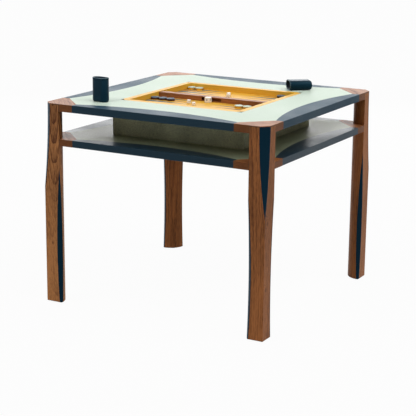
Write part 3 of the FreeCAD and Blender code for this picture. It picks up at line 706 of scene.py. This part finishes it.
class TABLE_OT_stage(bpy.types.Operator):
    """Floor, world, lamps and the camera at the photograph's angle"""
    bl_idname = "table.stage"
    bl_label = "Stage"

    def execute(self, context):
        lay_floor()
        light_world()
        sun_lamp("Key", studio().key, KEY_FROM, KEY_SPREAD)
        sun_lamp("Fill", studio().fill, FILL_FROM, FILL_SPREAD)
        back_panel()
        place_camera()
        return {"FINISHED"}


def background_rays(tree):
    """1 for the rays that see the background: camera, glossy and transmission rays."""
    path = tree.nodes.new("ShaderNodeLightPath")
    seen = maths(tree, "MAXIMUM", path.outputs["Is Camera Ray"], path.outputs["Is Glossy Ray"])
    return maths(tree, "MAXIMUM", seen, path.outputs["Is Transmission Ray"])


def lay_floor():
    """A floor that lights the table in its own colour, and is whitened as it is seen."""
    bm = bmesh.new()
    bmesh.ops.create_circle(bm, cap_ends=True, radius=FLOOR_RADIUS, segments=FLOOR_SIDES)
    material, tree, shader, place = new_material("Studio Floor", FLOOR_GLOSS)
    cloud = levelled(tree, noise(tree, place, FLOOR_CLOUD_SCALE), 0, FLOOR_CLOUD_SHARE)
    tone = mixed(tree, cloud, shade(colours().floor), shade(FLOOR_CLOUD))
    wire(tree, shader, {"Base Color": tone, "Roughness": FLOOR_ROUGHNESS})
    white = add(tree, "ShaderNodeEmission", {"Color": WHITE, "Strength": 1.0})
    veil = maths(tree, "MULTIPLY", background_rays(tree), studio().veil)
    both = add(tree, "ShaderNodeMixShader", {0: veil, 1: shader.outputs[0], 2: white.outputs[0]})
    wire(tree, tree.nodes["Material Output"], {"Surface": both.outputs[0]})
    mesh_object("studio_floor", bm, material)


def light_world():
    """A dim pale sky for the light, and plain white where the background is seen."""
    world = bpy.data.worlds.new("Studio")
    world.use_nodes = True
    tree = world.node_tree
    direction = tree.nodes.new("ShaderNodeTexCoord").outputs["Generated"]
    glow = spread(tree, parts_of(tree, direction)[2], 0, 1, studio().horizon, studio().sky)
    strength = spread(tree, background_rays(tree), 0, 1, glow, 1.0)
    wire(tree, tree.nodes["Background"], {"Color": WHITE, "Strength": strength})
    bpy.context.scene.world = world


def place_lamp(name, lamp, place, target):
    item = new_object(name, lamp)
    item.location = place
    item.rotation_euler = (target - place).to_track_quat("-Z", "Y").to_euler()
    item.visible_camera = False


def sun_lamp(name, strength, origin, breadth):
    lamp = bpy.data.lights.new(name, "SUN")
    lamp.energy = strength
    lamp.angle = breadth
    place_lamp(name, lamp, origin * SUN_DISTANCE, Vector((0, 0, 0)))


def back_panel():
    lamp = bpy.data.lights.new("Back Panel", "AREA")
    lamp.shape = "RECTANGLE"
    lamp.size, lamp.size_y = PANEL_SIZE
    lamp.energy = studio().back
    place_lamp("Back Panel", lamp, PANEL_PLACE, PANEL_TARGET)


def place_camera():
    data = bpy.data.cameras.new("Camera")
    data.sensor_width = CAMERA_SENSOR
    data.lens = CAMERA_LENS
    item = new_object("Camera", data)
    turn = Matrix.Rotation(CAMERA_TURN, 4, "Z") @ Matrix.Rotation(math.pi / 2 - CAMERA_PITCH, 4, "X")
    item.matrix_world = Matrix.Translation(CAMERA_PLACE) @ turn @ Matrix.Rotation(CAMERA_ROLL, 4, "Z")
    bpy.context.scene.camera = item
    bpy.context.scene.view_settings.view_transform = "Standard"


# Table

# Looks of the posts that differ from the plain one, with the place and size of their knots
PLAIN_POST = {"aim": (0.02, 0.015, 1), "wave": 0.02, "contrast": 1.0}
POST_LOOKS = {
    "front_left": {
        "aim": (-0.01, -0.12, 1), "ring": 0.0075, "wave": 0.016, "curl": 0.006, "figure": 0.85,
        "contrast": 1.1, "fade": (0.34, 0.60), "knots": (((-0.42, -0.449, 0.23), 0.006),),
    },
    "front_right": {
        "contrast": 1.12,
        "knots": (((0.449, -0.4305, 0.418), 0.010), ((0.449, -0.4331, 0.186), 0.009)),
    },
    "back_right": {"contrast": 0.8},
    "back_left": {"knots": (((-0.385, 0.39, 0.3), 0.004),)},
}
FIGURED_POST = "front_left"
FIGURED_POST_CENTRE = Vector((-0.408, -0.439, 0.75))
# How far outside a post the axis of its growth rings lies, and how much further from post to post
POST_PITH = 0.05
POST_PITH_STEP = 0.012
BLOCK_KNOTS = {
    "top_corner_front_left": (((-0.4156, -0.3903, 0.75), 0.006),),
    "top_corner_back_right": (((0.3811, 0.4300, 0.75), 0.004),),
}
# From the middle of a block, a rail and the bar to the axis of its growth rings
BLOCK_PITH = (0.02, 0.015)
BLOCK_PITH_DEPTH = 0.05
BLOCK_PITH_STEP = 0.01
RAIL_PITH = Vector((0.01, 0.02, -0.1))
BAR_PITH = Vector((0, 0.03, -0.06))


class TABLE_OT_posts(bpy.types.Operator):
    """Walnut posts, their leather skins and their glides"""
    bl_idname = "table.posts"
    bl_label = "Posts"

    def execute(self, context):
        skin = navy_leather("Post Leather", haze=0.18, pebble=800, gloss=SKIN_GLOSS)
        for number, name in enumerate(CORNERS):
            middle = middle_of(f"leg_{name}")
            outward = Vector((math.copysign(1, middle.x), math.copysign(1, middle.y), 0))
            centre = middle - outward * (POST_PITH + POST_PITH_STEP * number)
            tone = colours().walnut
            if name == FIGURED_POST:
                centre = FIGURED_POST_CENTRE
                tone = colours().walnut_gold
            look = {**PLAIN_POST, **POST_LOOKS[name]}
            grain = walnut(f"Post Walnut {number + 1}", centre=centre, light=tone, **look)
            # The post's head gets a line of painted shade where it meets the block over it
            paint(f"leg_{name}", paint_shade(grain, head_shade_mask))
            ease(f"leg_{name}")
            for node in (f"leg_corner_leather_{name}", f"leg_side_leathers_{name}"):
                paint(node, skin)
        paint("foot_glides", polished("Glide Nylon", colours().nylon, roughness=0.5))
        return {"FINISHED"}


def dress_slab(prefix, field_tone, pith_offset, polish, mottle, depth, haze):
    """Top or shelf: corner blocks, bands, field, panel and lippings."""
    title = prefix.title()
    for number, name in enumerate(CORNERS):
        node = f"{prefix}_corner_{name}"
        middle = middle_of(node)
        slope = -1 if middle.x * middle.y > 0 else 1
        deep = BLOCK_PITH_DEPTH + BLOCK_PITH_STEP * number + pith_offset
        grain = walnut(
            f"{title} Block Walnut {number + 1}", (1, slope, 0.05),
            middle + Vector((*BLOCK_PITH, -deep)), contrast=0.9, knots=BLOCK_KNOTS.get(node, ()),
        )
        # Painted shade along the block's joints with its post
        paint(node, paint_shade(grain, joint_shade_mask))
        ease(node)
    navy = navy_leather(
        f"{title} Band Leather", BAND_TINT, haze, pebble=750, polish=polish, gloss=BAND_GLOSS
    )
    for name in SIDES:
        paint(f"{prefix}_band_{name}", navy)
    field = leather(
        f"{title} Field Leather", field_tone, pebble=600, mottle=mottle, polish=polish, depth=depth
    )
    paint(f"{prefix}_field_leather", field)
    core = ply(f"{title} Panel", height=-0.2)
    paint(f"{prefix}_core", core)
    paint(f"{prefix}_edge_lippings", core)


class TABLE_OT_top(bpy.types.Operator):
    """Leather top with its corner blocks and edge bands"""
    bl_idname = "table.top"
    bl_label = "Top"

    def execute(self, context):
        dress_slab(
            "top", colours().sage, pith_offset=0.0, polish=0.0, mottle=0.025, depth=LEATHER_RELIEF,
            haze=0.25,
        )
        paint("corner_bolts", metal("Bolt Steel"))
        return {"FINISHED"}


class TABLE_OT_shelf(bpy.types.Operator):
    """Shelf with its corner blocks and edge bands"""
    bl_idname = "table.shelf"
    bl_label = "Shelf"

    def execute(self, context):
        dress_slab(
            "shelf", colours().olive, pith_offset=0.012, polish=0.14, mottle=0.2, depth=0.0004,
            haze=0.0,
        )
        return {"FINISHED"}


class TABLE_OT_well(bpy.types.Operator):
    """Well that holds the tray"""
    bl_idname = "table.well"
    bl_label = "Well"

    def execute(self, context):
        paint("well_bottom", ply("Well Panel", height=0.3))
        # The well's walls and cleats take a plain dark colour, painted shade for where they lie in
        # shadow behind the tray's cut corners
        dark = polished("Well Painted Shade", colours().painted_shade, roughness=0.6)
        for node in ("well_walls", "well_cleats"):
            paint(node, dark)
        casing = leather("Well Leather", colours().casing, pebble=600, mottle=0.26, depth=0.0003)
        paint("well_leather", casing)
        paint("well_felt", nap("Well Felt", colours().felt))
        return {"FINISHED"}


class TABLE_OT_tray(bpy.types.Operator):
    """Backgammon tray with its inlaid points and its bar"""
    bl_idname = "table.tray"
    bl_label = "Tray"

    def execute(self, context):
        for name in SIDES:
            aim = (1, 0.01, 0.03) if name in ("front", "back") else (0.01, 1, 0.03)
            node = f"tray_rail_{name}"
            grain = maple(f"Rail Maple {name.title()}", aim, middle_of(node) + RAIL_PITH)
            # Painted shade on the cut corners of the rail
            paint(node, paint_shade(grain, notch_shade_mask))
            ease(node, details().rail_edge)
        paint("tray_floor", maple("Floor Maple", (1, 0, 0.01), (0, 0, 0.45)))
        leaves = {
            "blue": (colours().blue_leaf, colours().blue_figure),
            "brown": (colours().brown_leaf, colours().walnut_dark),
        }
        for tone, (light, dark) in leaves.items():
            leaf = wood(
                f"{tone.title()} Leaf", light, dark, (1, 0, 0.01), (0, 0, 0.5), contrast=0.5, pores=0.3
            )
            paint(f"tray_points_{tone}", leaf)
        bar = walnut("Bar Walnut", (1, 0.02, 0.03), middle_of("tray_bar") + BAR_PITH)
        paint("tray_bar", bar)
        ease("tray_bar", details().rail_edge)
        return {"FINISHED"}


# Cups

CUP_STEPS = 16
ROUND_STEPS = 5
STANDING_TURN = math.radians(-8)
LYING_TURN = math.radians(40)
# The narrow ends of a cup draw in less than its flats do
END_INSET_SHARE = 0.5
# Under the turned rim the leather dips in: inset, and height from the rim's lower edge
RIM_DIP = ((0.0, -0.0006), (0.0004, -0.0002))
RIM_RISE = 0.0008
# The lip's own material, a cut edge lightened in part as painted highlight, begins this share of the
# wall below the cup's top
LIP_SHARE = 0.52
LINING_GAP = 0.0001
LINING_EDGE = 0.0003
LINING_ROUND = 0.003
LINING_STEPS = 3
# A stitch from end to end: place, thickness and lift, as shares of its length and thickness
STITCH_SHAPE = (
    (-0.5, 0.35, -0.5), (-0.35, 0.9, 0.1), (0, 1, 0.3), (0.35, 0.9, 0.1), (0.5, 0.35, -0.5),
)
STITCH_SIDES = 6
STITCH_THICKNESS = 0.13
RIM_STITCH_SHARE = 0.62
# The seam's stitches lean, and keep clear of the cup's rounding and rim by this share of them
SEAM_LEAN = 0.55
SEAM_CLEAR = 1.4


def oval_ring(inset, z):
    """Points round a cup's section, two flats and two half circles, drawn in by an inset."""
    radius = details().cup_depth / 2 - inset
    flat = (details().cup_breadth - details().cup_depth) / 2 + max(inset, 0) * END_INSET_SHARE
    points = []
    for side in (1, -1):
        for step in range(CUP_STEPS + 1):
            angle = math.pi * (step / CUP_STEPS - 0.5)
            x = side * (flat + radius * math.cos(angle))
            points.append(Vector((x, side * radius * math.sin(angle), z)))
    return points


def shell_profile():
    """Inset and height along a cup's leather, from its closed end over the rim to its inside."""
    size = details()
    rim_low = size.cup_length - size.cup_rim
    lip = (size.cup_wall + size.cup_bead) / 2
    top = size.cup_length - lip
    inner = lip * 2 - size.cup_bead
    curve = quarter(ROUND_STEPS)
    profile = [(size.cup_round, 0.0)]
    profile += [(size.cup_round * (1 - s), size.cup_round * c) for s, c in curve[1:]]
    profile += [(inset, rim_low + rise) for inset, rise in RIM_DIP]
    profile.append((-size.cup_bead, rim_low + RIM_RISE))
    profile += [(lip * c - size.cup_bead, top + lip * s) for s, c in curve]
    profile += [(inner - lip * c, top + lip * s) for s, c in reversed(curve[:-1])]
    profile.append((size.cup_wall, size.cup_bottom))
    return profile


def lining_profile():
    """Inset and height along a cup's lining, from under its bottom to its inner bottom."""
    size = details()
    outer = size.cup_wall + LINING_GAP
    inner = outer + size.cup_lining
    low = size.cup_bottom + LINING_GAP
    top = size.cup_length - size.cup_wall
    bottom = low + size.cup_lining
    soft = LINING_ROUND
    profile = [(outer, low), (outer, top), (inner - LINING_EDGE, top), (inner, top - LINING_EDGE)]
    profile.append((inner, bottom + soft))
    profile += [(inner + soft * c, bottom + soft * (1 - s)) for s, c in quarter(LINING_STEPS)[1:]]
    return profile


def stitch(bm, matrix, place, along, out, slot):
    """One short thread, proud of the leather in its middle and sunk at both ends."""
    size = details()
    side = along.cross(out)
    thick = size.stitch * STITCH_THICKNESS
    rings = []
    for share, swell, lift in STITCH_SHAPE:
        middle = place + along * (size.stitch * share) + out * (thick * lift)
        round_about = [(side * c + out * s) * (thick * swell) for c, s in whole_turn(STITCH_SIDES)]
        rings.append([middle + step for step in round_about])
    skin_rings(bm, rings, [slot] * (len(rings) - 1), matrix)


def rim_stitches(bm, matrix, slot):
    """A row of stitches round the turned rim."""
    size = details()
    radius = size.cup_depth / 2 + size.cup_bead
    flat = (size.cup_breadth - size.cup_depth) / 2
    height = size.cup_length - size.cup_rim * RIM_STITCH_SHARE
    around = 4 * flat + math.tau * radius
    count = round(around / size.stitch_pitch)
    for index in range(count):
        place, out = point_on_oval(around * index / count, flat, radius)
        stitch(bm, matrix, place + UP * height, UP.cross(out), out, slot)


def point_on_oval(run, flat, radius):
    """Place and outward direction at a run along an oval, from the middle of its front flat."""
    half_turn = math.pi * radius
    for side, start in ((1, -math.pi / 2), (-1, math.pi / 2)):
        if run <= flat:
            return Vector((side * run, -side * radius, 0)), Vector((0, -side, 0))
        run -= flat
        if run <= half_turn:
            angle = start + run / radius
            out = Vector((math.cos(angle), math.sin(angle), 0))
            return Vector((side * flat, 0, 0)) + out * radius, out
        run -= half_turn
        if run <= flat:
            return Vector((side * (flat - run), side * radius, 0)), Vector((0, side, 0))
        run -= flat
    return Vector((0, -radius, 0)), Vector((0, -1, 0))


def side_seam(bm, matrix, slot):
    """Stitches up the narrow side where the leather meets."""
    size = details()
    low = size.cup_round * SEAM_CLEAR
    high = size.cup_length - size.cup_rim * SEAM_CLEAR
    count = round((high - low) / size.stitch_pitch)
    out = Vector((-1, 0, 0))
    along = Vector((0, SEAM_LEAN, 1)).normalized()
    for index in range(count + 1):
        place = Vector((-size.cup_breadth / 2, 0, low + (high - low) * index / count))
        stitch(bm, matrix, place, along, out, slot)


def make_cup(name, matrix, materials):
    """A dice cup's leather shell and its suede lining."""
    bm = bmesh.new()
    profile = shell_profile()
    rings = [oval_ring(inset, z) for inset, z in profile]
    lip = details().cup_length - details().cup_wall * LIP_SHARE
    slots = [2 if min(low[1], high[1]) > lip else 0 for low, high in zip(profile, profile[1:])]
    skin_rings(bm, rings, slots, matrix)
    rim_stitches(bm, matrix, 1)
    side_seam(bm, matrix, 1)
    shell = mesh_object(f"{name}_cup_leather", bm, *materials[:3])
    stand_in(shell, f"{name}_cup", f"cup_{name}")
    bm = bmesh.new()
    rings = [oval_ring(inset, z) for inset, z in lining_profile()]
    skin_rings(bm, rings, [0] * (len(rings) - 1), matrix)
    lining = mesh_object(f"{name}_cup_suede", bm, materials[3])
    stand_in(lining, f"{name}_cup", f"cup_{name}_lining")


class TABLE_OT_cups(bpy.types.Operator):
    """Two leather dice cups, one standing and one lying"""
    bl_idname = "table.cups"
    bl_label = "Dice Cups"

    def execute(self, context):
        materials = (
            navy_leather("Cup Leather", haze=0.16, pebble=900, mottle=0.08, polish=0.1, gloss=CUP_GLOSS),
            nap("Cup Thread", colours().thread, fuzz=0.1),
            # Cut edge of the lip, lighter in part as painted highlight
            leather("Cup Edge and Highlight", colours().edge, pebble=1200),
            nap("Cup Suede", colours().suede),
        )
        middle = middle_of("cup_standing")
        base = Vector((middle.x, middle.y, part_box("cup_standing")[0].z))
        turn = Matrix.Rotation(STANDING_TURN, 4, "Z")
        make_cup("standing", Matrix.Translation(base) @ turn, materials)
        axis = Vector((math.cos(LYING_TURN), math.sin(LYING_TURN), 0))
        end = middle_of("cup_lying") + axis * (details().cup_length / 2)
        turn = Matrix.Rotation(LYING_TURN - math.pi / 2, 4, "Z") @ Matrix.Rotation(math.pi / 2, 4, "X")
        make_cup("lying", Matrix.Translation(end) @ turn, materials)
        return {"FINISHED"}


# Playing pieces

PIECE_PITCH = 0.034
PIECE_SIDES = 56
PIECE_STEPS = 4
PIECE_SEAM = 0.0002
# Inner edge of a piece's underside, and where the hollow of its face levels out, as shares of
# its radius. The hollow begins this many roundings in, at this share of its depth.
UNDERSIDE_SHARE = 0.5
HOLLOW_SHARE = 0.4
HOLLOW_START = 2.5
HOLLOW_START_DEPTH = 0.4
PIECE_AIM = (1, 0.3, 0.04)
PIECE_CENTRE = (0, 0, 0.7)
# How many pieces lie in a row, which side rail they start from, and their tone
PIECE_ROWS = {
    "checkers_blue_three": (3, -1, "blue"),
    "checkers_blue_two": (2, 1, "blue"),
    "checkers_cream_three": (3, 1, "cream"),
    "checkers_cream_two": (2, -1, "cream"),
}


def round_ring(radius, z):
    """Points round a playing piece at one height."""
    return [Vector((radius * c, radius * s, z)) for c, s in whole_turn(PIECE_SIDES)]


def piece_profile(radius, height):
    """Radius, height and material up a playing piece: a wooden body under a leather face."""
    size = details()
    soft = size.piece_round
    seam = height - size.piece_face
    rounding = [(radius - soft * (1 - s), soft * c) for s, c in quarter(PIECE_STEPS)]
    body = [(radius * UNDERSIDE_SHARE, 0.0, 0)] + [(r, z, 0) for r, z in rounding]
    groove = [(radius, seam - 2 * PIECE_SEAM, 0), (radius - PIECE_SEAM, seam - PIECE_SEAM, 0)]
    face = [(radius, seam, 1)] + [(r, height - z, 1) for r, z in reversed(rounding)]
    hollow = height - HOLLOW_START_DEPTH * size.piece_dish
    dish = [(radius - HOLLOW_START * soft, hollow, 1)]
    dish += [(radius * HOLLOW_SHARE, height - size.piece_dish, 1)]
    return body + groove + face + dish


def turned_piece(bm, place, radius, height):
    """Add one playing piece to a bmesh."""
    profile = piece_profile(radius, height)
    rings = [round_ring(r, z) for r, z, slot in profile]
    slots = [min(low[2], high[2]) for low, high in zip(profile, profile[1:])]
    skin_rings(bm, rings, slots, Matrix.Translation(place))


class TABLE_OT_playing_pieces(bpy.types.Operator):
    """Turned playing pieces with leather faces, in their rows"""
    bl_idname = "table.playing_pieces"
    bl_label = "Playing Pieces"

    def execute(self, context):
        woods = {
            "blue": walnut("Piece Dark Wood", PIECE_AIM, PIECE_CENTRE, light=colours().ebony),
            "cream": maple("Piece Maple", PIECE_AIM, PIECE_CENTRE),
        }
        faces = {
            "blue": leather("Slate Face", colours().slate, pebble=1400),
            "cream": leather("Pale Face", colours().sage, pebble=1400, mottle=0.02),
        }
        for node, (count, side, tone) in PIECE_ROWS.items():
            low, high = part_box(node)
            radius = (high.y - low.y) / 2
            outer = high.x if side > 0 else low.x
            bm = bmesh.new()
            for index in range(count):
                x = outer - side * (radius + PIECE_PITCH * index)
                turned_piece(bm, Vector((x, (low.y + high.y) / 2, low.z)), radius, high.z - low.z)
            row = mesh_object(f"{node}_row", bm, woods[tone], faces[tone])
            stand_in(row, f"{node}_body", node)
        return {"FINISHED"}


# Dice and doubling cube

# Where the dice lie, how far they are turned in degrees, and which of the rolls they show
DICE = {
    "dice_front": ((-0.0578, -0.0819, 12, 0), (-0.0182, -0.1149, 35, 1)),
    "dice_back": ((-0.0102, 0.1411, 20, 2), (0.0011, 0.1183, 5, 1)),
}
CUBE_PLACE = (-0.00455, -0.0307)
# Outward directions: top, front, right, left, back and bottom
FACES = (
    Vector((0, 0, 1)), Vector((0, -1, 0)), Vector((1, 0, 0)),
    Vector((-1, 0, 0)), Vector((0, 1, 0)), Vector((0, 0, -1)),
)
# Numbers on the faces of a die, in the order of FACES. Opposite faces add up to seven.
ROLLS = ((1, 2, 3, 4, 5, 6), (5, 3, 1, 6, 4, 2), (3, 6, 5, 2, 1, 4))
PIP_SPREAD = 0.27
PIP_LIFT = 0.35
PIP_SIDES = 14
PIP_LAYERS = 8
CUBE_STEPS = 4
CUBE_ROUND_SHARE = 1.4
CORNER_PIPS = ((-1, -1), (1, 1), (-1, 1), (1, -1))
SIDE_PIPS = ((-1, 0), (1, 0))
PIP_PLACES = {
    1: ((0, 0),), 2: CORNER_PIPS[:2], 3: CORNER_PIPS[:2] + ((0, 0),), 4: CORNER_PIPS,
    5: CORNER_PIPS + ((0, 0),), 6: CORNER_PIPS + SIDE_PIPS,
}


def soft_cube(bm, matrix, side, soft):
    """A cube with rounded edges and corners, standing on its local ground."""
    made = bmesh.ops.create_cube(bm, size=side, matrix=matrix @ Matrix.Translation((0, 0, side / 2)))
    edges = dict.fromkeys(edge for vert in made["verts"] for edge in vert.link_edges)
    bmesh.ops.bevel(
        bm, geom=list(edges), offset=soft, segments=CUBE_STEPS, profile=0.5, affect="EDGES",
        clamp_overlap=True,
    )


def face_frame(out):
    """Two directions across a face, rightwards and upwards as it is read from outside."""
    if abs(out.z) > 0.5:
        return Vector((1, 0, 0)), Vector((0, out.z, 0))
    return UP.cross(out), UP


def die_pips(bm, matrix, side, roll):
    """Balls that cut the pips."""
    centre = Vector((0, 0, side / 2))
    radius = details().pip
    lift = side / 2 + radius * PIP_LIFT
    for out, number in zip(FACES, ROLLS[roll]):
        right, up = face_frame(out)
        for x, y in PIP_PLACES[number]:
            spot = centre + out * lift + (right * x + up * y) * (side * PIP_SPREAD)
            bmesh.ops.create_uvsphere(
                bm, u_segments=PIP_SIDES, v_segments=PIP_LAYERS, radius=radius,
                matrix=matrix @ Matrix.Translation(spot),
            )


def cut(item, cutter):
    """Cut one object's shape out of another, and keep the cutter's material in the cut."""
    modifier = item.modifiers.new("Cut", "BOOLEAN")
    modifier.operation = "DIFFERENCE"
    modifier.solver = "EXACT"
    modifier.material_mode = "TRANSFER"
    modifier.object = cutter
    mesh = worked_out(item)
    item.modifiers.clear()
    item.data = mesh
    bpy.data.objects.remove(cutter)
    mesh.set_sharp_from_angle(angle=SMOOTH_ANGLE)
    return item


def dice_pair(node, bone, ink):
    """Two dice in one piece, with inked pips cut into them."""
    size = details()
    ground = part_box(node)[0].z
    bm = bmesh.new()
    balls = bmesh.new()
    for x, y, turn, roll in DICE[node]:
        matrix = Matrix.Translation((x, y, ground)) @ Matrix.Rotation(math.radians(turn), 4, "Z")
        soft_cube(bm, matrix, size.die_side, size.piece_round)
        die_pips(balls, matrix, size.die_side, roll)
    pair = mesh_object(f"{node}_pair", bm, bone)
    cutter = mesh_object(f"{node}_cutter", balls, ink)
    stand_in(cut(pair, cutter), f"{node}_body", node)


# Numbers on the doubling cube, in the order of FACES
NUMBERS = ("64", "2", "4", "8", "16", "32")
NUMBER_HEIGHT = 0.0095
NUMBER_RELIEF = 0.00015
NUMBER_BOLDNESS = 0.00025


def number_mesh(bm, text, matrix):
    """Add a flat numeral to a bmesh, in its second material."""
    curve = bpy.data.curves.new("Numeral", "FONT")
    curve.body = text
    curve.size = NUMBER_HEIGHT
    curve.align_x = "CENTER"
    curve.align_y = "CENTER"
    curve.extrude = NUMBER_RELIEF
    curve.offset = NUMBER_BOLDNESS
    curve.fill_mode = "BOTH"
    curve.resolution_u = 4
    holder = new_object("Numeral", curve)
    mesh = worked_out(holder)
    mesh.transform(matrix)
    before = set(bm.faces)
    bm.from_mesh(mesh)
    for face in set(bm.faces) - before:
        face.material_index = 1
    bpy.data.objects.remove(holder)
    bpy.data.meshes.remove(mesh)
    bpy.data.curves.remove(curve)


def doubling_cube(bone, ink):
    """A rounded cube with the doublings from 2 to 64 raised a hair on its faces."""
    side = details().cube_side
    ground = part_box("doubling_cube")[0].z
    place = Vector((*CUBE_PLACE, ground))
    bm = bmesh.new()
    soft_cube(bm, Matrix.Translation(place), side, details().piece_round * CUBE_ROUND_SHARE)
    for out, text in zip(FACES, NUMBERS):
        right, up = face_frame(out)
        turn = Matrix((right, up, out)).transposed().to_4x4()
        spot = place + UP * (side / 2) + out * (side / 2)
        number_mesh(bm, text, Matrix.Translation(spot) @ turn)
    piece = mesh_object("doubling_cube_numbered", bm, bone, ink)
    stand_in(piece, "doubling_cube_body", "doubling_cube")


class TABLE_OT_dice(bpy.types.Operator):
    """Four dice and the doubling cube"""
    bl_idname = "table.dice"
    bl_label = "Dice and Cube"

    def execute(self, context):
        bone = polished("Bone", colours().bone, roughness=0.25)
        ink = polished("Ink", colours().ink, roughness=0.4)
        for node in DICE:
            dice_pair(node, bone, ink)
        doubling_cube(bone, ink)
        return {"FINISHED"}


class TABLE_PT_panel(bpy.types.Panel):
    """Buttons for the pieces, in the order in which they are made"""
    bl_idname = "TABLE_PT_panel"
    bl_label = "Games Table"
    bl_space_type = "VIEW_3D"
    bl_region_type = "UI"
    bl_category = "Games Table"

    def draw(self, context):
        for operator in OPERATORS:
            self.layout.operator(operator.bl_idname)
        for name in SETTINGS:
            settings = getattr(context.scene, name)
            for key in settings.bl_rna.properties.keys():
                if key not in ("rna_type", "name"):
                    self.layout.prop(settings, key)


OPERATORS = [TABLE_OT_posts, TABLE_OT_top, TABLE_OT_shelf, TABLE_OT_well, TABLE_OT_tray,
             TABLE_OT_cups, TABLE_OT_playing_pieces, TABLE_OT_dice, TABLE_OT_stage]
SETTINGS = {"table_colours": TableColours, "table_details": TableDetails,
            "table_studio": StudioSettings}


def register():
    for settings in SETTINGS.values():
        bpy.utils.register_class(settings)
    for operator in OPERATORS:
        bpy.utils.register_class(operator)
    bpy.utils.register_class(TABLE_PT_panel)
    for name, settings in SETTINGS.items():
        setattr(bpy.types.Scene, name, PointerProperty(type=settings))


def unregister():
    for name in SETTINGS:
        delattr(bpy.types.Scene, name)
    bpy.utils.unregister_class(TABLE_PT_panel)
    for operator in reversed(OPERATORS):
        bpy.utils.unregister_class(operator)
    for settings in SETTINGS.values():
        bpy.utils.unregister_class(settings)


def main():
    register()
    for operator in OPERATORS:
        family, name = operator.bl_idname.split(".")
        getattr(getattr(bpy.ops, family), name)()


if __name__ == "__main__":
    main()
